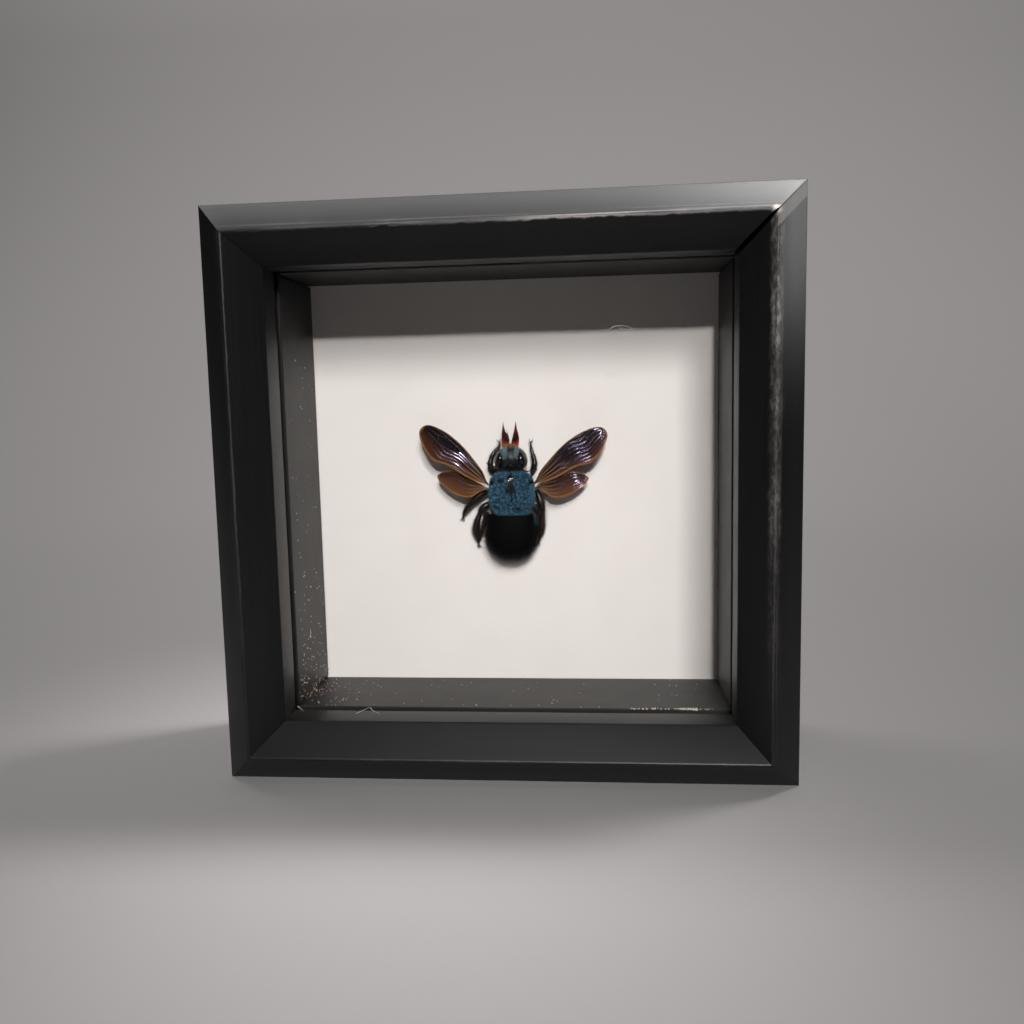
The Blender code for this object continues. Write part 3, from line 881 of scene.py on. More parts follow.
@dataclass
class HairCoat:
    """Hair grown over a skin: tapering bent strands, combed one way. Lengths are in millimetres."""

    name: str
    finish: Finish
    per_square: float
    length: float
    radius: float = 0.028
    comb: Row = (0.0, -0.2, -1.0)
    lean: float = 0.8
    tangle: float = 0.35
    bend: float = 0.25
    seed: int = 1

    TREE_NAME = "combed hair"

    @classmethod
    def tree(cls) -> bpy.types.NodeTree:
        """The group that grows hair from a mesh with the attributes pile, reach and shade."""
        found = bpy.data.node_groups.get(cls.TREE_NAME)
        if found:
            return found
        sockets = [
            ("Density", "Float"),
            ("Length", "Float"),
            ("Radius", "Float"),
            ("Comb", "Vector"),
            ("Lean", "Float"),
            ("Tangle", "Float"),
            ("Bend", "Float"),
            ("Seed", "Int"),
            ("Material", "Material"),
        ]
        graph = GeometryTools.start(cls.TREE_NAME, sockets)
        given = graph.node("NodeGroupInput")
        seed = given.out("Seed")
        density = graph.field("pile") * given.out("Density")
        roots = graph.node(
            "GeometryNodeDistributePointsOnFaces",
            {"distribute_method": "RANDOM"},
            {"Mesh": given, "Density": density, "Seed": seed},
        )
        jitter = graph.random_vector(-1.0, 1.0, seed)
        leaning = graph.vector_math("SCALE", given.out("Comb"), given.out("Lean"))
        tangled = graph.vector_math("SCALE", jitter, given.out("Tangle"))
        aim = graph.vector_math("ADD", roots.out("Normal"), leaning)
        aim = graph.vector_math("ADD", aim, tangled)
        turned = graph.node("FunctionNodeAlignRotationToVector", {"axis": "Z"}, {"Vector": aim})
        angle = graph.random_number(0.0, math.tau, seed)
        twist = graph.node("ShaderNodeCombineXYZ", {}, {2: angle})
        spin = graph.node("FunctionNodeEulerToRotation", {}, {0: twist})
        turned = graph.node(
            "FunctionNodeRotateRotation", {"rotation_space": "LOCAL"}, {0: turned, 1: spin}
        )
        size = graph.random_number(0.6, 1.1, seed) * graph.field("reach") * given.out("Length")
        strands = graph.node(
            "GeometryNodeInstanceOnPoints",
            {},
            {
                "Points": roots,
                "Instance": cls.strand(graph, given),
                "Rotation": turned,
                "Scale": size,
            },
        )
        toned = graph.node(
            "GeometryNodeStoreNamedAttribute",
            {"data_type": "FLOAT", "domain": "INSTANCE"},
            {"Geometry": strands, "Name": "tone", "Value": graph.random_number(0.0, 1.0, seed)},
        )
        return GeometryTools.close(graph, toned, given.out("Material"))

    @staticmethod
    def strand(graph: Graph, given: Wire) -> Wire:
        """One strand of length 1 with three sides, which tapers and bends to its tip."""
        middle = graph.node("ShaderNodeCombineXYZ", {}, {0: 0.0, 1: 0.0, 2: 0.55})
        end = graph.node("ShaderNodeCombineXYZ", {}, {0: given.out("Bend"), 1: 0.0, 2: 0.97})
        line = graph.node(
            "GeometryNodeCurveQuadraticBezier",
            {},
            {"Resolution": 2, "Start": (0.0, 0.0, 0.0), "Middle": middle, "End": end},
        )
        factor = graph.node("GeometryNodeSplineParameter")
        girth = given.out("Radius") / given.out("Length")
        profile = graph.node(
            "GeometryNodeCurvePrimitiveCircle",
            {"mode": "RADIUS"},
            {"Resolution": 3, "Radius": girth},
        )
        taper = 1.0 - factor * 0.85
        return graph.node(
            "GeometryNodeCurveToMesh",
            {},
            {"Curve": line, "Profile Curve": profile, "Scale": taper, "Fill Caps": True},
        )

    def grow(self, skin: bpy.types.Object) -> bpy.types.Object:
        """The coat on a skin, as a plain mesh."""
        values = {
            "Density": self.per_square * 1e6,
            "Length": self.length * MM,
            "Radius": self.radius * MM,
            "Comb": tuple(Vector(self.comb).normalized()),
            "Lean": self.lean,
            "Tangle": self.tangle,
            "Bend": self.bend,
            "Seed": self.seed,
            "Material": self.finish.material(),
        }
        return GeometryTools.bake(self.name, skin, self.tree(), values)


@dataclass
class Threads:
    """Thin round threads along lines: veins, fibres and lint."""

    name: str
    finish: Finish
    lines: list[list[tuple[Vector, float]]] = field(default_factory=list)
    sides: int = 5

    TREE_NAME = "round threads"

    @classmethod
    def tree(cls) -> bpy.types.NodeTree:
        """The group that turns edges with the attribute girth into tubes."""
        found = bpy.data.node_groups.get(cls.TREE_NAME)
        if found:
            return found
        graph = GeometryTools.start(cls.TREE_NAME, [("Sides", "Int"), ("Material", "Material")])
        given = graph.node("NodeGroupInput")
        curve = graph.node("GeometryNodeMeshToCurve", {}, {"Mesh": given})
        profile = graph.node(
            "GeometryNodeCurvePrimitiveCircle",
            {"mode": "RADIUS"},
            {"Resolution": given.out("Sides"), "Radius": 1.0},
        )
        girth = graph.field("girth")
        tubes = graph.node(
            "GeometryNodeCurveToMesh",
            {},
            {"Curve": curve, "Profile Curve": profile, "Scale": girth, "Fill Caps": True},
        )
        return GeometryTools.close(graph, tubes, given.out("Material"))

    def add(self, points: Sequence[Vector], start: float, end: float) -> None:
        """A line through points, with its radius in millimetres at the start and the end."""
        step = (end - start) / (len(points) - 1)
        radii = [(start + step * index) * MM for index in range(len(points))]
        self.lines.append(list(zip(points, radii)))

    def spin(self) -> bpy.types.Object:
        """All the threads as one plain mesh."""
        shape = Shape(f"{self.name}_lines")
        girth = shape.layer("girth")
        for line in self.lines:
            rows = [shape.bm.verts.new(point) for point, _ in line]
            for vertex, (_, radius) in zip(rows, line):
                vertex[girth] = radius
            for one, two in zip(rows, rows[1:]):
                shape.bm.edges.new((one, two))
        source = shape.finish(recalculate=False)
        values = {"Sides": self.sides, "Material": self.finish.material()}
        made = GeometryTools.bake(self.name, source, self.tree(), values)
        bpy.data.objects.remove(source)
        return made


@dataclass
class Crumbs:
    """Specks of dust and crumbs that lie on a patch, each a rough flat grain."""

    name: str
    finish: Finish
    per_square: float
    radius: float
    seed: int = 1

    TREE_NAME = "scattered crumbs"

    @classmethod
    def tree(cls) -> bpy.types.NodeTree:
        """The group that scatters grains on a mesh with the attribute pile."""
        found = bpy.data.node_groups.get(cls.TREE_NAME)
        if found:
            return found
        sockets = [
            ("Density", "Float"),
            ("Radius", "Float"),
            ("Seed", "Int"),
            ("Material", "Material"),
        ]
        graph = GeometryTools.start(cls.TREE_NAME, sockets)
        given = graph.node("NodeGroupInput")
        seed = given.out("Seed")
        density = graph.field("pile") * given.out("Density")
        places = graph.node(
            "GeometryNodeDistributePointsOnFaces",
            {"distribute_method": "RANDOM"},
            {"Mesh": given, "Density": density, "Seed": seed},
        )
        ball = graph.node(
            "GeometryNodeMeshIcoSphere", {}, {"Radius": given.out("Radius"), "Subdivisions": 1}
        )
        squeeze = graph.random_vector(0.35, 1.3, seed)
        turn = graph.random_vector(0.0, math.tau, seed)
        grains = graph.node(
            "GeometryNodeInstanceOnPoints",
            {},
            {"Points": places, "Instance": ball, "Rotation": turn, "Scale": squeeze},
        )
        return GeometryTools.close(graph, grains, given.out("Material"))

    def scatter(self, patches: Sequence[tuple[Row, Row, Row, float]]) -> bpy.types.Object:
        """Grains on flat patches.

        Args:
            patches: A corner, two sides and a share of the density for each patch, in millimetres.

        Returns:
            All the grains as one plain mesh.
        """
        shape = Shape(f"{self.name}_patches")
        pile = shape.layer("pile")
        for corner, one, two, share in patches:
            corner, one, two = (Vector(v) * MM for v in (corner, one, two))
            corners = (corner, corner + one, corner + one + two, corner + two)
            rows = [shape.bm.verts.new(spot) for spot in corners]
            for vertex in rows:
                vertex[pile] = share
            shape.bm.faces.new(rows)
        source = shape.finish(recalculate=False)
        values = {
            "Density": self.per_square * 1e6,
            "Radius": self.radius * MM,
            "Seed": self.seed,
            "Material": self.finish.material(),
        }
        made = GeometryTools.bake(self.name, source, self.tree(), values)
        bpy.data.objects.remove(source)
        return made


class Side(Enum):
    """A rail's side of the frame, as the turn in degrees from the bottom one."""

    BOTTOM = 0
    RIGHT = 90
    TOP = 180
    LEFT = 270


@dataclass
class Moulding:
    """The four mitred rails of the box frame, in millimetres of inset and depth."""

    corners: tuple[tuple[float, float, float], ...] = (
        (0.0, 5.8, 0.35),
        (6.5, -0.25, 0.55),
        (12.8, 6.2, 0.30),
        (12.8, 13.0, 0.15),
        (10.1, 13.0, 0.0),
        (10.1, 46.5, 0.15),
        (0.0, 46.5, 0.30),
    )
    steps: int = 96
    closed_gap: float = 0.03
    open_gap_outer: float = 0.08
    open_gap_ridge: float = 0.42
    open_gap_lip: float = 0.58
    finish: Finish = RubbedBlackPaint("rubbed black paint")

    def section(self) -> list[tuple[float, float]]:
        """The moulding's outline as (inset, depth), with its corners rounded."""
        points: list[tuple[float, float]] = []
        count = len(self.corners)
        for index, (inset, depth, radius) in enumerate(self.corners):
            here = Vector((inset, depth))
            before = Vector(self.corners[index - 1][:2]) - here
            after = Vector(self.corners[(index + 1) % count][:2]) - here
            if radius == 0.0:
                points.append((inset, depth))
                continue
            start, end = here + before.normalized() * radius, here + after.normalized() * radius
            for k in range(5):
                t = k / 4
                spot = start * (1 - t) ** 2 + here * 2 * t * (1 - t) + end * t**2
                points.append((spot.x, spot.y))
        return points

    def end_gap(self, side: Side, at_end: bool, inset: float, depth: float) -> float:
        """Half of the joint's width at one end of a rail: the top right one gapes at the front.

        Args:
            side: The rail's side.
            at_end: Whether it is the rail's far end.
            inset: The way in from the frame's outside.
            depth: The way back from the front of the frame.

        Returns:
            The width in millimetres.
        """
        opened = (side is Side.TOP and not at_end) or (side is Side.RIGHT and at_end)
        if not opened:
            return self.closed_gap
        share = smooth_step(inset, 6.0, 7.0)
        gap = between(((self.open_gap_outer,), (self.open_gap_ridge,)), share)[0]
        gap += (self.open_gap_lip - self.open_gap_ridge) * smooth_step(inset, 7.0, 12.8)
        return self.closed_gap + (gap - self.closed_gap) * smooth_step(depth, 13.0, 7.0)

    def rail(self, side: Side) -> bpy.types.Object:
        """One rail, drawn along the frame's side with its ends cut to the mitre.

        Args:
            side: Which of the four.

        Returns:
            The finished rail.
        """
        shape = Shape(f"{side.name.lower()}_moulding")
        outline = self.section()
        turn = Matrix.Rotation(-math.radians(side.value), 4, "Y")
        rings = []
        for step in range(self.steps + 1):
            t = step / self.steps * 2 - 1
            ring = []
            for inset, depth in outline:
                reach = 61.0 - inset - self.end_gap(side, t > 0, inset, depth) * math.sqrt(2)
                wave = noise.noise(Vector((t * 9, inset * 0.5, side.value))) * 0.035
                spot = turn @ Vector((t * reach * MM, 0.0, (inset - 61.0) * MM))
                ring.append(spot + Vector((0.0, FRONT_Y + (depth + wave) * MM, HALF)))
            rings.append(ring)
        rows = shape.loft(rings)
        self.unwrap(shape, rows, outline)
        made = shape.finish(self.finish)
        self.sharpen(made)
        return made

    def unwrap(self, shape: Shape, rows: list, outline: list[tuple[float, float]]) -> None:
        """Lay a map on the rail: along it by its length, across it by the way round its section."""
        layer = shape.bm.loops.layers.uv.new("length")
        shape.bm.verts.index_update()
        count = len(outline)
        walked = [0.0]
        for index in range(count):
            a, b = outline[index], outline[(index + 1) % count]
            walked.append(walked[-1] + math.hypot(a[0] - b[0], a[1] - b[1]) * MM)
        for face in shape.bm.faces:
            for loop in face.loops:
                ring, spot = divmod(loop.vert.index, count)
                wraps = any(other.vert.index % count == count - 1 for other in face.loops)
                if spot == 0 and wraps and len(face.loops) == 4:
                    spot = count
                loop[layer].uv = (ring / self.steps * 2 * HALF, walked[spot])

    @staticmethod
    def sharpen(made: bpy.types.Object) -> None:
        """Keep the flats flat: edges between faces at more than 30 degrees stay crisp."""
        made.data.set_sharp_from_angle(angle=math.radians(30))

    def build(self) -> None:
        """All four rails."""
        for side in Side:
            Piece.mount(self.rail(side), "black_moulding", f"rail_{side.name.lower()}")


@dataclass
class BoxFittings:
    """The pieces in and behind the moulding that keep their CAD solids and get their finishes."""

    glass: Finish = ClearGlass("clear glass front")
    lining: Finish = BlackLining("black lining strip")
    card: Finish = WhiteCard("white mount card")
    board: Finish = RawFibreboard("raw fibreboard")
    steel: Finish = StampedMetal("stamped steel")
    brass: Finish = StampedMetal("brass plated steel", (0.62, 0.46, 0.20), (0.36, 0.25, 0.10))

    def dress(self, nodes: dict[str, bpy.types.Object]) -> None:
        """Give each node the finish that its name calls for."""
        finishes = {
            "glass_pane": self.glass,
            "spacer": self.lining,
            "mount_card": self.card,
            "back_board": self.board,
            "retaining_point": self.steel,
            "sawtooth_hanger": self.brass,
            "hanger_nail": self.brass,
        }
        for name, node in nodes.items():
            for start, finish in finishes.items():
                if name.startswith(start):
                    Piece.paint(node, finish)


BLACK_SHELL = Shell("black shell")


def swell(value: float, power: float) -> float:
    """A signed power, which squares or pinches a round section."""
    return math.copysign(abs(value) ** power, value)


def spot_mark(across: float, up: float, spots: Iterable[Row]) -> float:
    """How far a point lies in any oval spot: (across, up, half width, half height, strength)."""
    strongest = 0.0
    for x, z, wide, high, strength in spots:
        reach = math.hypot((across - x) / wide, (up - z) / high)
        strongest = max(strongest, strength * smooth_step(reach, 1.15, 0.75))
    return strongest


@dataclass
class Dome:
    """A rounded body on the card, in millimetres, with marks for its hair at each point."""

    name: str
    centre: Row
    radii: Row
    squareness: float = 1.0
    power: float = 0.85
    segments: int = 160
    rings: int = 80

    def shape(
        self,
        relief: Callable[[float, float], float],
        marks: Callable[[float, float, float], Row],
        front: float = math.inf,
    ) -> Shape:
        """The body's mesh.

        Args:
            relief: The height that is added at a place (across, up).
            marks: The hair's density, length and shade at a place (across, up, share of the rise).
            front: Where the body is cut flat, up the card.

        Returns:
            The mesh, with the attributes pile, reach and shade.
        """
        made = Shape(self.name)
        layers = [made.layer(name) for name in ("pile", "reach", "shade")]
        made.ball(self.segments, self.rings)
        for vertex in made.bm.verts:
            across, up, rise = vertex.co
            level = math.hypot(across, up)
            angle = math.atan2(up, across)
            x = self.centre[0] + level * swell(math.cos(angle), self.squareness) * self.radii[0]
            z = self.centre[1] + level * swell(math.sin(angle), self.squareness) * self.radii[1]
            z = min(z, front)
            y = self.centre[2] + swell(rise, self.power) * self.radii[2]
            if rise > 0.0:
                y += relief(x, z) * smooth_step(rise, 0.0, 0.3)
            vertex.co = on_card(x, z, y)
            for layer, value in zip(layers, marks(x, z, rise)):
                vertex[layer] = value
        for face in made.bm.faces:
            face.smooth = True
        return made


@dataclass
class Thorax:
    """The thorax: a dense coat of turquoise hair round a bare black spot, with dark marks and
    painted shade round its rim.
    """

    body: Dome = field(
        default_factory=lambda: Dome(
            "thorax_skin",
            centre=(-0.3, -1.7, 4.9),
            radii=(5.05, 4.75, 3.75),
            squareness=0.55,
            power=0.6,
            segments=224,
            rings=112,
        )
    )
    bald: Row = (-0.38, 1.85, 0.98, 1.35)
    spots: tuple[Row, ...] = (
        (-2.60, 1.40, 0.85, 0.50, 0.55),
        (-4.00, -4.60, 0.36, 0.32, 1.0),
        (-3.25, -5.00, 0.32, 0.30, 1.0),
        (1.20, -5.10, 0.72, 0.50, 1.0),
        (2.60, 0.10, 0.26, 0.38, 0.6),
        (3.00, -2.80, 0.24, 0.32, 0.7),
        (-2.90, -2.40, 0.22, 0.34, 0.6),
        (3.70, -4.00, 0.28, 0.28, 0.7),
        (-4.70, 1.00, 0.55, 0.50, 1.0),
        (4.20, 0.95, 0.55, 0.50, 1.0),
    )
    tegulae: tuple[Row, ...] = ((-4.75, 0.95, 7.15), (4.25, 0.95, 7.15))
    scale_form: Row = (0.8, 0.6, 1.0, 1.0)
    bald_tilt: Row = (-0.10, 0.42)
    comb: Row = (0.0, -0.1, -1.0)

    def bareness(self, across: float, up: float) -> float:
        """0 on the bare spot and 1 away from it."""
        x, z, wide, high = self.bald
        reach = abs(across - x) / wide + abs(up - z) / high
        return smooth_step(reach, 0.92, 1.12)

    def relief(self, across: float, up: float) -> float:
        """The bare spot bulges towards the viewer, and the back has a faint crease."""
        x, z = self.bald[:2]
        near = math.exp(-(((across - x) / 0.80) ** 2) - ((up - z) / 0.80) ** 2)
        bulge = (0.10 + self.bald_tilt[0] * (across - x) + self.bald_tilt[1] * (up - z)) * near
        crease = -0.18 * math.exp(-(((across - x) / 0.35) ** 2)) * smooth_step(up, -0.5, -2.0)
        return bulge + crease

    def marks(self, across: float, up: float, rise: float) -> Row:
        """Hair everywhere but on the bare spot, black behind it and on the dots, with painted shade
        at the rim and underside, and a little darker towards the rear.

        Args:
            across: The place across the card.
            up: The place up the card.
            rise: The share of the dome's rise, from -1 to 1.

        Returns:
            The hair's density, length and shade.
        """
        half = 0.55 + 0.75 * smooth_step(up, 0.9, -0.9)
        ragged = 0.35 * noise.noise(Vector((across * 1.8, up * 1.8, 0.0)))
        wedge = smooth_step(abs(across + 0.3) - ragged, half + 0.15, half - 0.15)
        wedge *= smooth_step(up, -1.5, -1.1) * smooth_step(up, 1.7, 1.2)
        stem = smooth_step(abs(across + 0.2) - ragged * 0.4, 0.36, 0.12)
        stem *= smooth_step(up, -4.0, -3.2) * smooth_step(up, -0.8, -1.2)
        shade = max(wedge, stem * 0.9, spot_mark(across, up, self.spots))
        # Painted shade: the hair at the rim and on the underside, towards the card, is darkened;
        # the hair is also a little darker towards the rear.
        shade = max(shade, smooth_step(rise, 0.05, -0.15) * 0.8, smooth_step(up, -2.0, -5.5) * 0.28)
        pile = self.bareness(across, up) * (1.0 if rise > -0.35 else 0.15)
        reach = 0.5 + 0.5 * smooth_step(self.bareness(across, up), 0.5, 1.0) - 0.25 * shade
        rear = smooth_step(up, -5.2, -6.0)
        return pile, reach + rear * 0.45, shade * (1.0 - rear)

    def build(self) -> None:
        """Skin with its two wing scales, then the coat."""
        shape = self.body.shape(self.relief, self.marks)
        for across, up, rise in self.tegulae:
            place = Matrix.Translation(on_card(across, up, rise)) @ Matrix.Diagonal(self.scale_form)
            bmesh.ops.create_icosphere(shape.bm, subdivisions=3, radius=0.55 * MM, matrix=place)
        for face in shape.bm.faces:
            face.smooth = True
        skin = shape.finish(DownySkin("skin under turquoise hair"))
        dye = HairFinish("turquoise hair")
        shared = {"radius": 0.042, "comb": self.comb, "lean": 0.95, "bend": 0.3}
        hair = HairCoat("thorax_hair", dye, 34.0, 0.80, tangle=0.8, seed=3, **shared)
        down = HairCoat("thorax_down", dye, 28.0, 0.66, tangle=0.9, seed=4, **shared)
        coats = [coat.grow(skin) for coat in (hair, down)]
        Piece.mount(skin, "black_chitin", "bee_thorax")
        for coat in coats:
            Piece.mount(coat, "blue_hair", "bee_thorax")


@dataclass
class Abdomen:
    """The abdomen: overlapping black plates with short hair, a longer fringe round the rim, and a
    painted sheen on the right flank.
    """

    body: Dome = field(
        default_factory=lambda: Dome(
            "abdomen_skin",
            centre=(-0.6, -10.4, 4.4),
            radii=(5.7, 6.75, 3.55),
            squareness=0.85,
            power=0.8,
            segments=176,
            rings=88,
        )
    )
    front: float = -7.0
    plate: float = 1.9
    coat: HairCoat = field(
        default_factory=lambda: HairCoat(
            "abdomen_hair",
            HairFinish(
                "black hair",
                deep=(0.002, 0.002, 0.002),
                middle=(0.004, 0.0035, 0.0035),
                light=(0.018, 0.015, 0.014),
                # The colour of the painted sheen on the right flank.
                dark=(0.030, 0.060, 0.085),
                gloss=0.10,
            ),
            per_square=26.0,
            length=1.60,
            radius=0.038,
            comb=(0.0, 0.10, -1.0),
            lean=0.60,
            tangle=0.45,
            seed=11,
        )
    )

    def relief(self, across: float, up: float) -> float:
        """Each plate rises to its rear edge and drops to the next one."""
        bow = 0.012 * (across + 0.6) ** 2
        place = ((up + bow - self.front) / -self.plate) % 1.0
        return 0.06 * place * smooth_step(place, 1.0, 0.85) - 0.05

    def marks(self, across: float, up: float, rise: float) -> Row:
        """Sparse short hair on top, a dense long fringe at the rim, and a painted sheen on the
        front of the right flank.
        """
        rim = smooth_step(abs(rise), 0.62, 0.25)
        rear = smooth_step(up, -8.0, -12.0)
        pile = 0.18 + 0.95 * rim
        reach = 0.34 + (0.30 + 0.36 * rear) * rim
        # Painted sheen: blue-grey hair on the front of the right flank.
        painted_sheen_strip = smooth_step(across, 4.3, 4.9) * smooth_step(up, -9.6, -9.0)
        return pile * (1.0 if rise > -0.4 else 0.2), reach, painted_sheen_strip

    def build(self) -> None:
        """Skin, then the coat."""
        black, brown = (0.0012, 0.0012, 0.0014), (0.0020, 0.0018, 0.0018)
        shell = Shell("matt abdomen shell", black, brown, 0.60, gloss=0.05)
        skin = self.body.shape(self.relief, self.marks, self.front).finish(shell)
        coat = self.coat.grow(skin)
        Piece.mount(skin, "black_chitin", "bee_abdomen")
        Piece.mount(coat, "black_chitin", "bee_abdomen")


@dataclass
class Head:
    """The head: a broad capsule with long glossy eyes, grey and pale hair, and two feelers."""

    body: Dome = field(
        default_factory=lambda: Dome(
            "head_skin",
            centre=(-0.4, 6.3, 4.2),
            radii=(3.55, 2.5, 2.95),
            squareness=0.95,
            power=0.95,
            segments=120,
            rings=60,
        )
    )
    eye_place: Row = (2.52, -0.15, 0.45)
    eye_radii: Row = (1.36, 2.20, 2.50)
    eye_turn: float = 12.0
    patches: tuple[Row, ...] = (
        (-1.75, 7.50, 0.75, 1.50, 1.0),
        (1.10, 7.55, 0.72, 1.35, 1.0),
        (-0.35, 7.30, 0.55, 0.80, 0.45),
    )
    ocelli: tuple[Row, ...] = ((-0.40, 5.35, 6.95), (-0.95, 4.95, 6.75), (0.15, 4.95, 6.75))
    feelers: tuple[tuple[Row, ...], ...] = (
        ((2.2, 3.9, 5.6), (2.9, 3.45, 5.9), (4.2, 3.35, 5.6), (5.9, 3.65, 5.0)),
        ((-3.2, 4.3, 5.6), (-4.2, 4.6, 5.8), (-5.2, 4.9, 5.4), (-6.2, 5.35, 4.8)),
    )
    coat: HairCoat = field(
        default_factory=lambda: HairCoat(
            "head_hair",
            HairFinish(
                "grey head hair",
                deep=(0.006, 0.007, 0.008),
                middle=(0.016, 0.020, 0.022),
                light=(0.160, 0.185, 0.190),
                dark=(0.210, 0.330, 0.370),
                patch_scale=1800.0,
            ),
            per_square=60.0,
            length=0.60,
            comb=(0.0, -0.1, 1.0),
            lean=0.9,
            tangle=0.9,
            bend=0.3,
            seed=21,
        )
    )
    fuzz: HairCoat = field(
        default_factory=lambda: HairCoat(
            "mouth_fuzz",
            HairFinish(
                "tan mouth hair",
                deep=(0.10, 0.06, 0.025),
                middle=(0.30, 0.21, 0.10),
                light=(0.62, 0.52, 0.36),
                dark=(0.05, 0.03, 0.02),
            ),
            per_square=80.0,
            length=0.5,
            radius=0.026,
            comb=(0.0, -0.5, 1.0),
            lean=0.7,
            tangle=0.5,
            bend=0.3,
            seed=22,
        )
    )

    def marks(self, across: float, up: float, rise: float) -> Row:
        """Grey hair with two pale patches, and none on the underside."""
        patch = spot_mark(across, up, self.patches)
        side = smooth_step(abs(across + 0.4), 3.2, 2.4)
        pile = (0.70 + 0.55 * patch) * (1.0 if rise > -0.2 else 0.25)
        return pile, 0.8 + 0.3 * patch + 0.2 * side, patch

    def add_eyes(self) -> bpy.types.Object:
        """The two eyes, long and rounded, turned outwards."""
        shape = Shape("compound_eyes")
        for side in (-1, 1):
            offset = [a + b * c for a, b, c in zip(self.body.centre, self.eye_place, (side, 1, 1))]
            lean = Matrix.Rotation(math.radians(-side * self.eye_turn), 4, "Y")
            wide, high, deep = self.eye_radii
            size = Matrix.Diagonal((wide, deep, high, 1.0 / MM)) * MM
            shape.ball(48, 32, Matrix.Translation(on_card(*offset)) @ lean @ size)
        for across, up, rise in self.ocelli:
            spot = Matrix.Translation(on_card(across, up, rise))
            bmesh.ops.create_icosphere(shape.bm, subdivisions=2, radius=0.20 * MM, matrix=spot)
        for face in shape.bm.faces:
            face.smooth = True
        black, brown = (0.004, 0.004, 0.005), (0.010, 0.007, 0.006)
        facets = {"pit_scale": 26000.0, "pit_depth": 0.000006}
        return shape.finish(Shell("faceted eye", black, brown, roughness=0.10, **facets))

    def add_feelers(self) -> bpy.types.Object:
        """Two thin jointed feelers that lie back beside the head."""
        feelers = Shape("feelers")
        for route in self.feelers:
            path, radii = [], []
            for step in range(25):
                place = step / 24
                path.append(on_card(*between(route, place)))
                joint = 0.016 * math.cos(place * math.tau * 11)
                radii.append((0.16 - 0.05 * place + joint) * MM)
            feelers.tube(path, radii, 8)
        return feelers.finish(BLACK_SHELL)

    def build(self) -> None:
        """Capsule, eyes, feelers and hair."""
        shell = Shell("rough head shell", (0.0040, 0.0040, 0.0045), (0.0080, 0.0065, 0.0060), 0.42)
        skin = self.body.shape(lambda across, up: 0.0, self.marks).finish(shell)
        coat = self.coat.grow(skin)
        lip = Dome("mouth_lip", (-0.55, 8.95, 3.9), (1.45, 0.62, 1.05), 0.9, 0.9, 40, 20)
        lip_skin = lip.shape(lambda across, up: 0.0, lambda across, up, rise: (1.0, 1.0, 0.0))
        lip_skin = lip_skin.finish(self.fuzz.finish)
        fuzz = self.fuzz.grow(lip_skin)
        for made in (skin, coat, self.add_eyes(), self.add_feelers(), lip_skin, fuzz):
            Piece.mount(made, "black_chitin", "bee_head")


@dataclass
class MouthBlades:
    """The two pointed blades in front of the head: rows of (up, left, right, half thickness)."""

    rise: float = 3.5
    left: tuple[tuple[Row, ...], ...] = (
        (
            (9.00, -2.50, -0.95, 0.32),
            (9.90, -2.62, -0.84, 0.48),
            (10.60, -2.62, -1.05, 0.50),
            (11.20, -2.62, -1.26, 0.46),
            (12.00, -2.58, -1.50, 0.40),
            (13.20, -2.46, -1.78, 0.28),
            (14.30, -2.30, -2.08, 0.14),
            (15.00, -2.18, -2.14, 0.03),
        ),
        (
            (9.40, -1.70, -0.82, 0.36),
            (10.60, -1.70, -0.74, 0.44),
            (11.30, -1.66, -0.84, 0.36),
            (12.20, -1.60, -1.04, 0.22),
            (13.10, -1.54, -1.40, 0.03),
        ),
    )
    right: tuple[tuple[Row, ...], ...] = (
        (
            (9.00, -0.30, 1.30, 0.32),
            (9.90, -0.34, 1.48, 0.48),
            (10.60, -0.20, 1.58, 0.52),
            (11.40, 0.02, 1.55, 0.48),
            (12.40, 0.26, 1.32, 0.40),
            (13.40, 0.48, 1.10, 0.27),
            (14.40, 0.67, 0.92, 0.13),
            (15.10, 0.78, 0.84, 0.03),
        ),
    )
    steps: int = 36
    sides: int = 20
    finish: Finish = BladeHorn("red-brown horn")

    def blade(self, name: str, prongs: Sequence[Sequence[Row]]) -> bpy.types.Object:
        """One blade.

        Args:
            name: The new object's name.
            prongs: The rows of each prong. Two of them share a base.

        Returns:
            The finished blade.
        """
        shape = Shape(name)
        for rows in prongs:
            rings = []
            for step in range(self.steps + 1):
                up, low, high, thick = between(rows, step / self.steps)
                middle, half = (low + high) / 2, (high - low) / 2
                ring = []
                for side in range(self.sides):
                    angle = math.tau * side / self.sides
                    x = middle + half * swell(math.cos(angle), 0.9)
                    ring.append(on_card(x, up, self.rise + thick * swell(math.sin(angle), 0.9)))
                rings.append(ring)
            shape.loft(rings)
        return shape.finish(self.finish)

    def build(self) -> None:
        """Both blades."""
        Piece.mount(self.blade("blade_left", self.left), "red_chitin", "mouthpart_left")
        Piece.mount(self.blade("blade_right", self.right), "red_chitin", "mouthpart_right")


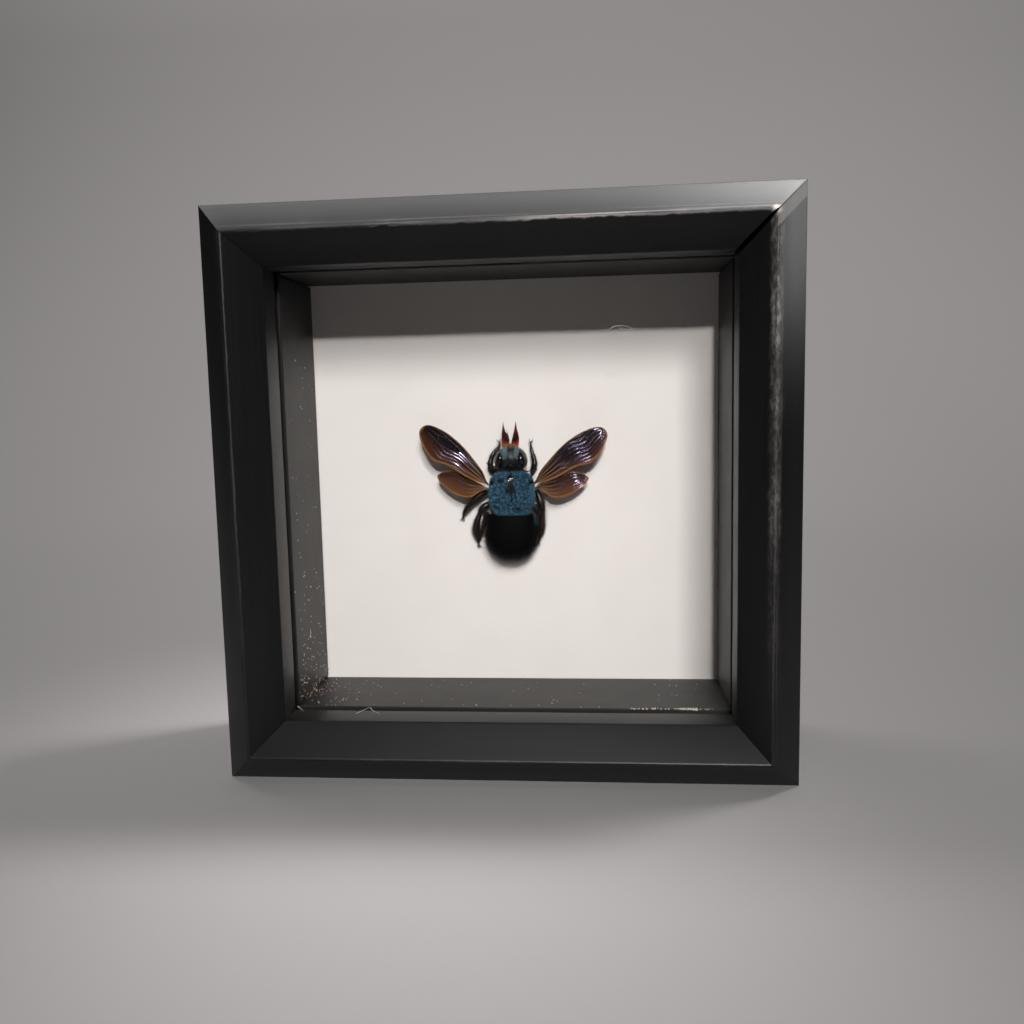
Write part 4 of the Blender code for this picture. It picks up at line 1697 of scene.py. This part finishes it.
class WingKind(Enum):
    """The two kinds of wing, as rows of (along, leading edge, trailing edge) from the root."""

    FORE = (
        (-0.9, 0.05, -0.25),
        (0.1, 0.45, -0.45),
        (2.0, 1.5, -1.3),
        (4.5, 2.2, -2.0),
        (7.5, 2.9, -2.3),
        (10.0, 3.3, -2.8),
        (12.5, 3.4, -3.8),
        (15.0, 3.2, -3.6),
        (17.5, 2.6, -2.5),
        (18.8, 2.0, -1.7),
        (19.6, 1.2, -0.9),
        (19.9, 0.4, -0.2),
    )
    HIND = (
        (-0.9, 0.10, -0.20),
        (0.2, 0.28, -0.42),
        (1.5, 0.7, -1.4),
        (3.0, 1.0, -2.8),
        (4.8, 1.5, -3.3),
        (6.6, 2.0, -3.1),
        (8.5, 2.3, -2.6),
        (10.2, 1.8, -1.8),
        (11.4, 1.1, -1.0),
        (12.0, 0.5, -0.4),
        (12.2, 0.2, -0.1),
    )

    @property
    def veins(self) -> tuple[tuple[tuple[float, float], ...], ...]:
        """Vein routes as (share of the length, share of the chord from the trailing edge)."""
        if self is WingKind.FORE:
            return (
                ((0.0, 0.90), (0.3, 0.95), (0.7, 0.96), (0.94, 0.93)),
                ((0.0, 0.72), (0.3, 0.80), (0.6, 0.88), (0.70, 0.93)),
                ((0.0, 0.58), (0.3, 0.62), (0.46, 0.60), (0.62, 0.56), (0.80, 0.60)),
                ((0.0, 0.42), (0.25, 0.36), (0.50, 0.31), (0.64, 0.28)),
                ((0.0, 0.25), (0.20, 0.15), (0.42, 0.08)),
                ((0.58, 0.87), (0.66, 0.76), (0.80, 0.80), (0.90, 0.92)),
                ((0.46, 0.60), (0.47, 0.72), (0.48, 0.84)),
                ((0.62, 0.56), (0.64, 0.68), (0.66, 0.77)),
                ((0.50, 0.31), (0.52, 0.44), (0.54, 0.58)),
                ((0.64, 0.28), (0.66, 0.42), (0.68, 0.56)),
            )
        return (
            ((0.0, 0.85), (0.3, 0.93), (0.65, 0.95)),
            ((0.0, 0.62), (0.3, 0.66), (0.6, 0.68), (0.86, 0.76)),
            ((0.0, 0.40), (0.3, 0.42), (0.55, 0.36), (0.74, 0.26)),
            ((0.0, 0.22), (0.25, 0.20), (0.45, 0.12)),
            ((0.46, 0.39), (0.48, 0.54), (0.50, 0.67)),
        )


@dataclass
class Wing:
    """One wing: a thin folded membrane with raised veins. Lengths are in millimetres."""

    node: str
    kind: WingKind
    root: Row
    tip_rise: float
    angle: float
    fold: float
    waviness: float
    finish: SmokyMembrane
    seed: float
    folded: tuple[float, float] = (0.35, 0.95)
    arch: float = 0.6
    along_steps: int = 160
    across_steps: int = 64

    def frame(self) -> tuple[Vector, Vector]:
        """The directions along the wing and towards its leading edge, as (across, up)."""
        turn = math.radians(self.angle)
        side = -1 if math.cos(turn) < 0 else 1
        along = Vector((math.cos(turn), math.sin(turn)))
        return along, Vector((-along.y, along.x)) * side

    def crease(self, share: float, chord: float) -> float:
        """The folds: pleats along the wing that waver towards its tip.

        Args:
            share: The share of the outline's rows, from the root.
            chord: The share from the trailing to the leading edge.

        Returns:
            Their height, from -1 to 1.
        """
        drift = noise.noise(Vector((share * 4.0, chord * 1.2, self.seed)))
        fine = noise.noise(Vector((share * 11.0, chord * 5.0, self.seed + 7)))
        waver = drift * 1.8 + 0.30 * math.sin(share * 27.0 + self.seed)
        pleat = math.sin(math.tau * (chord * 7.5 + self.waviness * waver))
        cloud = noise.noise(Vector((share * 5.0, chord * 2.6, self.seed + 3)))
        patch = smooth_step(cloud, -0.25, 0.15)
        low, high = self.folded
        zone = smooth_step(share, low - 0.12, low + 0.06)
        zone *= smooth_step(share, high + 0.10, high - 0.06)
        folds = 0.80 * pleat * (0.10 + 0.90 * patch) + 0.45 * fine * self.waviness
        return folds * (0.12 + 0.88 * zone)

    def spot(self, share: float, chord: float, lift: float = 0.0) -> tuple[Vector, float, Row]:
        """A point of the membrane.

        Args:
            share: The share of the outline's rows, from the root.
            chord: The share from the trailing to the leading edge.
            lift: An extra rise.

        Returns:
            The place, the height of the fold there, and the outline's row.
        """
        row = between(self.kind.value, share)
        reach, lead, trail = row
        along, forward = self.frame()
        offset = trail + (lead - trail) * chord
        fade = min(1.0, 5 * chord) * min(1.0, 5 * (1 - chord)) * smooth_step(share, 0.0, 0.25)
        fold = self.crease(share, chord)
        length = self.kind.value[-1][0]
        rise = self.root[2] + (self.tip_rise - self.root[2]) * reach / length
        rise += self.arch * math.sin(math.pi * share) + self.fold * fade * fold + lift
        place = Vector(self.root[:2]) + along * reach + forward * offset
        return on_card(place.x, place.y, rise), fold * fade, row

    def membrane(self) -> bpy.types.Object:
        """The membrane as a thin closed sheet, with its marks as attributes."""
        shape = Shape(f"{self.node}_membrane")
        names = ("across", "along", "edge", "crest", "streak")
        layers = [shape.layer(name) for name in names]
        length = self.kind.value[-1][0]
        rows = []
        for i in range(self.along_steps + 1):
            share = i / self.along_steps
            line = []
            for j in range(self.across_steps + 1):
                chord = j / self.across_steps
                place, fold, (reach, lead, trail) = self.spot(share, chord)
                vertex = shape.bm.verts.new(place)
                width = lead - trail
                edge = min(chord * width / 0.85, (length - reach) / 0.9, (1 - chord) * width / 0.35)
                drift = noise.noise(Vector((share * 3, chord, self.seed)))
                fan = math.sin(math.tau * (chord * 4.6 + 0.3 * drift))
                values = (
                    chord,
                    reach / length,
                    min(edge, 1.0),
                    smooth_step(fold, 0.25, 0.75),
                    smooth_step(fan, 0.45, 0.95),
                )
                for layer, value in zip(layers, values):
                    vertex[layer] = value
                line.append(vertex)
            rows.append(line)
        for low, high in zip(rows, rows[1:]):
            for j in range(self.across_steps):
                face = shape.bm.faces.new((low[j], low[j + 1], high[j + 1], high[j]))
                face.smooth = True
        made = shape.finish(self.finish)
        sheet = made.modifiers.new("thickness", "SOLIDIFY")
        sheet.thickness = 0.07 * MM
        sheet.offset = 0.0
        return made

    def vein_threads(self) -> bpy.types.Object:
        """The veins as round threads that stand out of the membrane."""
        brown = PlainDye("vein brown", (0.020, 0.010, 0.007), (0.045, 0.022, 0.012), 0.35)
        threads = Threads(f"{self.node}_veins", brown)
        for number, route in enumerate(self.kind.veins):
            points = []
            for step in range(29):
                share, chord = between(route, step / 28)
                points.append(self.spot(share, chord, 0.02)[0])
            threads.add(points, 0.105 if number < 2 else 0.075, 0.045)
        return threads.spin()

    def build(self) -> None:
        """Membrane and veins."""
        Piece.mount(self.membrane(), "smoky_wing", self.node)
        Piece.mount(self.vein_threads(), "smoky_wing", self.node)


@dataclass
class Wings:
    """Both pairs of wings, each with its own folds."""

    # Each membrane's share sets how strongly a violet sheen is painted on its fold crests.
    black: ClassVar[Finish] = SmokyMembrane("smoky membrane", painted_sheen_share=0.35)
    wavy: ClassVar[Finish] = SmokyMembrane(
        "smoky wavy membrane", painted_sheen_share=0.6, dark_until=0.30
    )
    brown: ClassVar[Finish] = SmokyMembrane(
        "brown membrane",
        lead=(0.040, 0.017, 0.009),
        rear=(0.105, 0.045, 0.018),
        dark_until=0.55,
        painted_sheen_share=0.15,
    )
    violet: ClassVar[Finish] = SmokyMembrane(
        "brown violet membrane",
        lead=(0.030, 0.013, 0.010),
        rear=(0.095, 0.040, 0.017),
        dark_until=0.5,
        painted_sheen_share=0.6,
    )
    wings: tuple[Wing, ...] = (
        Wing(
            "forewing_left",
            WingKind.FORE,
            root=(-6.4, 1.0, 6.2),
            tip_rise=5.2,
            angle=140.0,
            fold=0.050,
            waviness=0.6,
            finish=black,
            seed=1.0,
            folded=(0.30, 0.58),
        ),
        Wing(
            "forewing_right",
            WingKind.FORE,
            root=(5.8, 1.0, 6.2),
            tip_rise=5.2,
            angle=35.0,
            fold=0.080,
            waviness=1.0,
            finish=wavy,
            seed=4.0,
            folded=(0.36, 0.92),
        ),
        Wing(
            "hindwing_left",
            WingKind.HIND,
            root=(-6.4, -0.6, 5.0),
            tip_rise=4.0,
            angle=166.0,
            fold=0.018,
            waviness=0.4,
            finish=brown,
            seed=9.0,
            folded=(0.40, 0.75),
            along_steps=100,
        ),
        Wing(
            "hindwing_right",
            WingKind.HIND,
            root=(5.8, -0.6, 5.0),
            tip_rise=4.0,
            angle=9.0,
            fold=0.070,
            waviness=0.9,
            finish=violet,
            seed=12.0,
            folded=(0.50, 0.88),
            along_steps=100,
        ),
    )

    def build(self) -> None:
        """Each wing in turn."""
        for wing in self.wings:
            wing.build()


@dataclass
class Leg:
    """One leg: a jointed tube with bristles and two claws. Rows are (across, up, rise, radius)."""

    node: str
    route: tuple[Row, ...]
    comb: Row = (0.0, -0.2, -1.0)
    second: tuple[Row, ...] = ()
    bristle: float = 0.62
    seed: int = 1

    def limb(self, shape: Shape, route: Sequence[Row]) -> None:
        """A tube along a route, pinched a little at each of its rows.

        Args:
            shape: The mesh that it goes into.
            route: Its rows.
        """
        path, radii = [], []
        steps = 14 * (len(route) - 1)
        for step in range(steps + 1):
            place = step / steps
            across, up, rise, radius = between(route, place)
            path.append(on_card(across, up, rise))
            pinch = 0.06 * math.cos(place * (len(route) - 1) * math.tau)
            end = 0.35 + 0.65 * smooth_step(min(place, 1.0 - place), 0.0, 0.03)
            radii.append(radius * (1.0 - pinch) * end * MM)
        shape.tube(path, radii, 12)

    def claws(self, shape: Shape) -> None:
        """Two hooks that spread from the foot."""
        foot, before = Vector(self.route[-1][:3]), Vector(self.route[-2][:3])
        ahead = (foot - before).normalized()
        aside = Vector((-ahead.y, ahead.x, 0.0)).normalized()
        for side in (-1, 1):
            bend = [
                foot - ahead * 0.15 + aside * side * 0.08,
                foot + ahead * 0.22 + aside * side * 0.30,
                foot + ahead * 0.46 + aside * side * 0.46,
                foot + ahead * 0.56 + aside * side * 0.30 - Vector((0.0, 0.0, 0.1)),
            ]
            path = [on_card(*between(bend, k / 8)) for k in range(9)]
            shape.tube(path, [(0.11 - 0.088 * k / 8) * MM for k in range(9)], 6)

    def build(self) -> None:
        """Limb and claws, then the bristles."""
        shape = Shape(f"{self.node}_limb")
        self.limb(shape, self.route)
        if self.second:
            self.limb(shape, self.second)
        self.claws(shape)
        for name, value in (("pile", 1.0), ("reach", 1.0), ("shade", 0.0)):
            layer = shape.layer(name)
            for vertex in shape.bm.verts:
                vertex[layer] = value
        for face in shape.bm.faces:
            face.smooth = True
        black, brown = (0.007, 0.005, 0.0045), (0.030, 0.015, 0.010)
        skin = shape.finish(Shell("brown-black leg shell", black, brown, roughness=0.24))
        hair = HairFinish(
            "black bristles",
            deep=(0.004, 0.0035, 0.0035),
            middle=(0.009, 0.007, 0.006),
            light=(0.040, 0.030, 0.026),
            dark=(0.01, 0.01, 0.01),
        )
        coat = HairCoat(
            f"{self.node}_bristles",
            hair,
            per_square=22.0,
            length=self.bristle,
            radius=0.020,
            comb=self.comb,
            lean=0.75,
            tangle=0.55,
            seed=self.seed,
        )
        grown = coat.grow(skin)
        Piece.mount(skin, "black_chitin", self.node)
        Piece.mount(grown, "black_chitin", self.node)


@dataclass
class Legs:
    """The six legs, each on its own route from the body to the foot."""

    legs: tuple[Leg, ...] = (
        Leg(
            "foreleg_left",
            route=(
                (-4.7, 2.7, 1.8, 0.50),
                (-5.6, 4.3, 2.0, 0.62),
                (-5.4, 6.2, 2.0, 0.56),
                (-4.6, 7.9, 1.8, 0.40),
                (-3.65, 8.9, 1.6, 0.28),
                (-3.4, 9.6, 1.5, 0.24),
                (-3.5, 10.3, 1.4, 0.16),
            ),
            comb=(0.0, -0.3, 1.0),
            seed=31,
        ),
        Leg(
            "foreleg_right",
            route=(
                (4.3, 2.8, 1.8, 0.50),
                (4.9, 4.2, 2.0, 0.68),
                (5.0, 5.6, 2.0, 0.56),
                (4.5, 7.6, 1.8, 0.38),
                (4.2, 8.9, 1.6, 0.22),
                (4.1, 9.5, 1.5, 0.16),
                (4.15, 10.1, 1.4, 0.14),
            ),
            comb=(0.0, -0.3, 1.0),
            seed=32,
        ),
        Leg(
            "midleg_left",
            route=(
                (-5.8, -1.2, 2.2, 0.60),
                (-8.0, -2.2, 3.0, 0.84),
                (-10.0, -3.9, 2.8, 0.76),
                (-11.5, -5.5, 2.0, 0.62),
                (-12.4, -7.1, 1.3, 0.34),
                (-12.7, -7.7, 1.0, 0.20),
                (-12.8, -8.3, 0.9, 0.16),
            ),
            comb=(-0.5, -0.2, -1.0),
            seed=33,
        ),
        Leg(
            "midleg_right",
            route=(
                (5.3, -1.2, 2.4, 0.60),
                (6.1, -3.2, 3.2, 0.76),
                (6.7, -5.5, 3.2, 0.78),
                (6.9, -6.8, 3.0, 0.46),
                (6.6, -8.6, 2.7, 0.72),
                (6.5, -11.2, 2.3, 0.64),
                (5.8, -13.4, 1.6, 0.24),
                (5.5, -14.6, 1.1, 0.16),
            ),
            comb=(0.35, -0.2, -1.0),
            seed=34,
        ),
        Leg(
            "hindleg_left",
            route=(
                (-5.6, -4.5, 1.6, 0.60),
                (-7.6, -5.5, 2.0, 0.78),
                (-8.6, -7.2, 1.9, 0.50),
                (-9.4, -9.8, 1.7, 0.86),
                (-9.5, -12.0, 1.4, 0.76),
                (-9.1, -13.9, 1.0, 0.22),
                (-9.0, -14.9, 0.9, 0.16),
            ),
            comb=(-0.3, -0.2, -1.0),
            second=(
                (-6.6, -6.6, 2.2, 0.50),
                (-7.2, -8.4, 2.1, 0.56),
                (-7.8, -10.5, 1.7, 0.50),
                (-8.5, -12.7, 1.3, 0.34),
                (-9.0, -14.0, 1.0, 0.20),
            ),
            bristle=0.75,
            seed=35,
        ),
        Leg(
            "hindleg_right",
            route=(
                (4.7, -5.0, 1.4, 0.60),
                (5.6, -7.5, 1.2, 0.70),
                (5.4, -10.5, 1.1, 0.66),
                (4.6, -13.0, 0.9, 0.26),
                (4.3, -14.6, 0.9, 0.16),
            ),
            comb=(0.3, -0.2, -1.0),
            seed=36,
        ),
    )

    def build(self) -> None:
        """Each leg in turn."""
        for leg in self.legs:
            leg.build()


@dataclass
class Lint:
    """The dust in the box: specks, grit, crumbs and a few fibres. In millimetres.

    A route is rows of (across, height, rise from the card). A patch is its corner, its two sides
    and its share of the density.
    """

    fibre: Finish = PlainDye("pale fibre", (0.62, 0.60, 0.55), (0.45, 0.44, 0.40), 0.6)
    dust: Finish = PlainDye("dust", (0.44, 0.41, 0.37), (0.17, 0.15, 0.13), 0.9)
    brown: Finish = PlainDye("brown grit", (0.26, 0.19, 0.13), (0.10, 0.06, 0.035), 0.9)
    pale: Finish = PlainDye("pale crumb", (0.66, 0.60, 0.50), (0.45, 0.38, 0.29), 0.9)
    inner: ClassVar[float] = 48.25
    floor: ClassVar[float] = 12.75
    depth: ClassVar[Row] = (0.0, 22.4, 0.0)
    corner: ClassVar[Row] = (-inner, -8.0, floor)
    glass: ClassVar[float] = 23.55
    routes: tuple[tuple[Row, ...], ...] = (
        (
            (22.6, 95.1, glass),
            (24.0, 95.9, glass),
            (25.6, 96.0, glass),
            (27.1, 95.5, glass),
            (28.2, 94.4, glass),
        ),
        ((24.7, 95.9, glass), (25.4, 95.2, glass), (26.6, 95.1, glass), (27.4, 95.6, glass)),
        ((-47.6, 14.1, 26.9), (-46.9, 13.45, 26.9), (-46.1, 12.9, 27.2)),
        ((-33.8, 12.9, 28.4), (-32.8, 13.0, 26.7), (-31.6, 13.15, 25.0), (-31.0, 13.0, 25.5)),
        ((-31.5, 13.15, 24.9), (-30.4, 13.0, 26.6), (-28.5, 12.9, 28.3)),
        ((-47.9, 26.5, 14.8), (-47.8, 27.6, 14.2), (-47.9, 28.6, 14.0)),
    )
    speck_patches: tuple[tuple[Row, Row, Row, float], ...] = (
        (corner, (0.0, 0.0, 80.0), depth, 0.15),
        (corner, (0.0, 0.0, 32.0), depth, 0.30),
        (corner, (0.0, 0.0, 11.0), depth, 0.90),
        (corner, (13.0, 0.0, 0.0), depth, 0.70),
        (corner, (96.0, 0.0, 0.0), depth, 0.12),
    )
    grit_patches: tuple[tuple[Row, Row, Row, float], ...] = (
        ((-inner, -1.0, floor), (3.4, 0.0, 0.0), (0.0, 8.0, 0.0), 1.0),
        ((-inner, 1.0, floor), (0.0, 0.0, 2.6), (0.0, 6.0, 0.0), 1.3),
    )
    crumb_patches: tuple[tuple[Row, Row, Row, float], ...] = (
        ((26.0, -8.25, 12.72), (19.0, 0.0, 0.0), (0.0, 0.4, 0.0), 1.0),
        ((37.5, -8.8, 12.75), (3.6, 0.0, 0.0), (0.0, 1.0, 0.1), 2.6),
        ((30.0, -8.5, 12.7), (2.0, 0.0, 0.0), (0.0, 0.7, 0.1), 1.6),
    )

    def fibres(self) -> bpy.types.Object:
        """Bent fibres: on the glass, at the lip's corner, over the gap, and by the right wing."""
        threads = Threads("lint_fibres", self.fibre, sides=5)
        for route in self.routes:
            spots = [between(route, k / 16) for k in range(17)]
            points = [Vector((x * MM, CARD_Y - rise * MM, z * MM)) for x, z, rise in spots]
            threads.add(points, 0.06, 0.035)
        for shift in (0.0, 0.45):
            route = (
                (8.1 + shift, -2.9, 3.4),
                (7.7 + shift, -7.0, 2.2),
                (7.2 + shift * 0.3, -10.4, 1.0),
            )
            threads.add([on_card(*between(route, k / 14)) for k in range(15)], 0.03, 0.02)
        return threads.spin()

    def specks(self) -> bpy.types.Object:
        """Specks on the lining and the moulding, thickest in the lower left corner."""
        grains = Crumbs("dust_specks", self.dust, per_square=0.22, radius=0.19, seed=5)
        return grains.scatter(self.speck_patches)

    def grit(self) -> bpy.types.Object:
        """Brown grit in the corner where the left and lower lining strips meet."""
        grains = Crumbs("corner_grit", self.brown, per_square=1.3, radius=0.14, seed=6)
        return grains.scatter(self.grit_patches)

    def crumbs(self) -> bpy.types.Object:
        """Pale crumbs along the lower gap, towards its right end."""
        grains = Crumbs("gap_crumbs", self.pale, per_square=5.5, radius=0.17, seed=8)
        return grains.scatter(self.crumb_patches)

    def build(self) -> None:
        """All of the dust."""
        for made in (self.fibres(), self.specks(), self.grit(), self.crumbs()):
            Piece.mount(made, "white_card")


@dataclass(frozen=True)
class SoftBox:
    """A rectangular soft light. Places and sizes are in metres, and the beam's angle in degrees."""

    name: str
    place: Row
    aim: Row
    size: tuple[float, float]
    watts: float
    spread: float


@dataclass
class Studio:
    """The plain pale floor that rises into a backdrop, the soft lights and the camera."""

    camera_place: tuple[float, float, float] = (0.0203, -0.2067, 0.0800)
    camera_right: tuple[float, float, float] = (0.9955, 0.0925, -0.0221)
    camera_up: tuple[float, float, float] = (0.0112, 0.1173, 0.9930)
    lens: float = 32.4
    light_color: Color = (1.0, 0.985, 0.98)
    fill_color: tuple[float, float, float, float] = (1.0, 0.96, 0.97, 1.0)
    fill_strength: float = 0.015
    middle: ClassVar[Row] = (0.0, 0.0, HALF)
    lights: tuple[SoftBox, ...] = (
        SoftBox("key", (0.174, -0.785, 0.532), middle, (0.196, 0.227), 0.226, 32.0),
        SoftBox("small_key", (0.078, -0.86, 0.431), middle, (0.03, 0.03), 0.120, 32.0),
        SoftBox(
            "top_light", (0.21, 0.09, 0.60), (0.02, -0.01, 0.118), (0.18, 0.06), 0.062, 16.0
        ),
        SoftBox(
            "side_light", (0.54, 0.04, 0.205), (0.058, -0.02, 0.122), (0.06, 0.06), 0.0023, 7.0
        ),
        SoftBox(
            "bevel_light", (-0.03, -0.21, 0.50), (0.0, -0.02, 0.006), (0.16, 0.08), 0.0052, 18.0
        ),
        SoftBox("backdrop", (0.0, 0.28, 1.2), (0.0, 0.80, 0.05), (1.6, 0.3), 9.5, 120.0),
    )
    paper: Finish = PaleStagePaper("pale stage paper")

    def build(self) -> None:
        """Put up the whole studio."""
        self.add_floor()
        self.add_lights()
        self.add_camera()

    def add_floor(self) -> None:
        """A sheet of paper that runs under the frame and sweeps up behind it."""
        shape = Shape("stage_floor")
        profile = [(-2.5, 0.0), (0.35, 0.0)]
        for k in range(1, 13):
            angle = math.radians(90 * k / 12)
            profile.append((0.35 + 0.5 * math.sin(angle), 0.5 - 0.5 * math.cos(angle)))
        profile.append((0.85, 2.6))
        rows = [[shape.bm.verts.new((x, y, z)) for x in (-3.0, 3.0)] for y, z in profile]
        for low, high in zip(rows, rows[1:]):
            face = shape.bm.faces.new((low[0], low[1], high[1], high[0]))
            face.smooth = True
        floor = shape.finish(self.paper, recalculate=False)

    def add_light(self, box: SoftBox) -> None:
        """One soft light that faces its point."""
        data = bpy.data.lights.new(box.name, "AREA")
        data.shape = "RECTANGLE"
        data.size, data.size_y = box.size
        data.energy = box.watts
        data.color = self.light_color
        data.spread = math.radians(box.spread)
        light = bpy.data.objects.new(box.name, data)
        light.location = box.place
        direction = Vector(box.aim) - Vector(box.place)
        light.rotation_euler = direction.to_track_quat("-Z", "Y").to_euler()
        bpy.context.scene.collection.objects.link(light)

    def add_lights(self) -> None:
        """The soft lights, and a faint even fill."""
        for box in self.lights:
            self.add_light(box)
        world = bpy.data.worlds.new("even fill")
        world.use_nodes = True
        backdrop = world.node_tree.nodes["Background"]
        backdrop.inputs["Color"].default_value = self.fill_color
        backdrop.inputs["Strength"].default_value = self.fill_strength
        bpy.context.scene.world = world

    def add_camera(self) -> None:
        """The camera, at the angle from which the frame is seen."""
        data = bpy.data.cameras.new("camera")
        data.lens = self.lens
        data.sensor_width = 36.0
        data.clip_start = 0.01
        data.dof.use_dof = False
        right, up = Vector(self.camera_right).normalized(), Vector(self.camera_up).normalized()
        back = right.cross(up)
        pose = Matrix((right, up, back)).transposed().to_4x4()
        pose.translation = Vector(self.camera_place)
        camera = bpy.data.objects.new("camera", data)
        camera.matrix_world = pose
        bpy.context.scene.collection.objects.link(camera)
        bpy.context.scene.camera = camera
        bpy.context.scene.view_settings.view_transform = "Standard"


def main() -> None:
    """Build the studio and every piece in order, and report each one."""
    logging.basicConfig(level=logging.INFO, format="%(message)s")
    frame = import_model()
    Studio().build()
    Moulding().build()
    BoxFittings().dress(frame["nodes"])
    for part in (Thorax(), Abdomen(), Head(), MouthBlades(), Wings(), Legs(), Lint()):
        part.build()


if __name__ == "__main__":
    main()
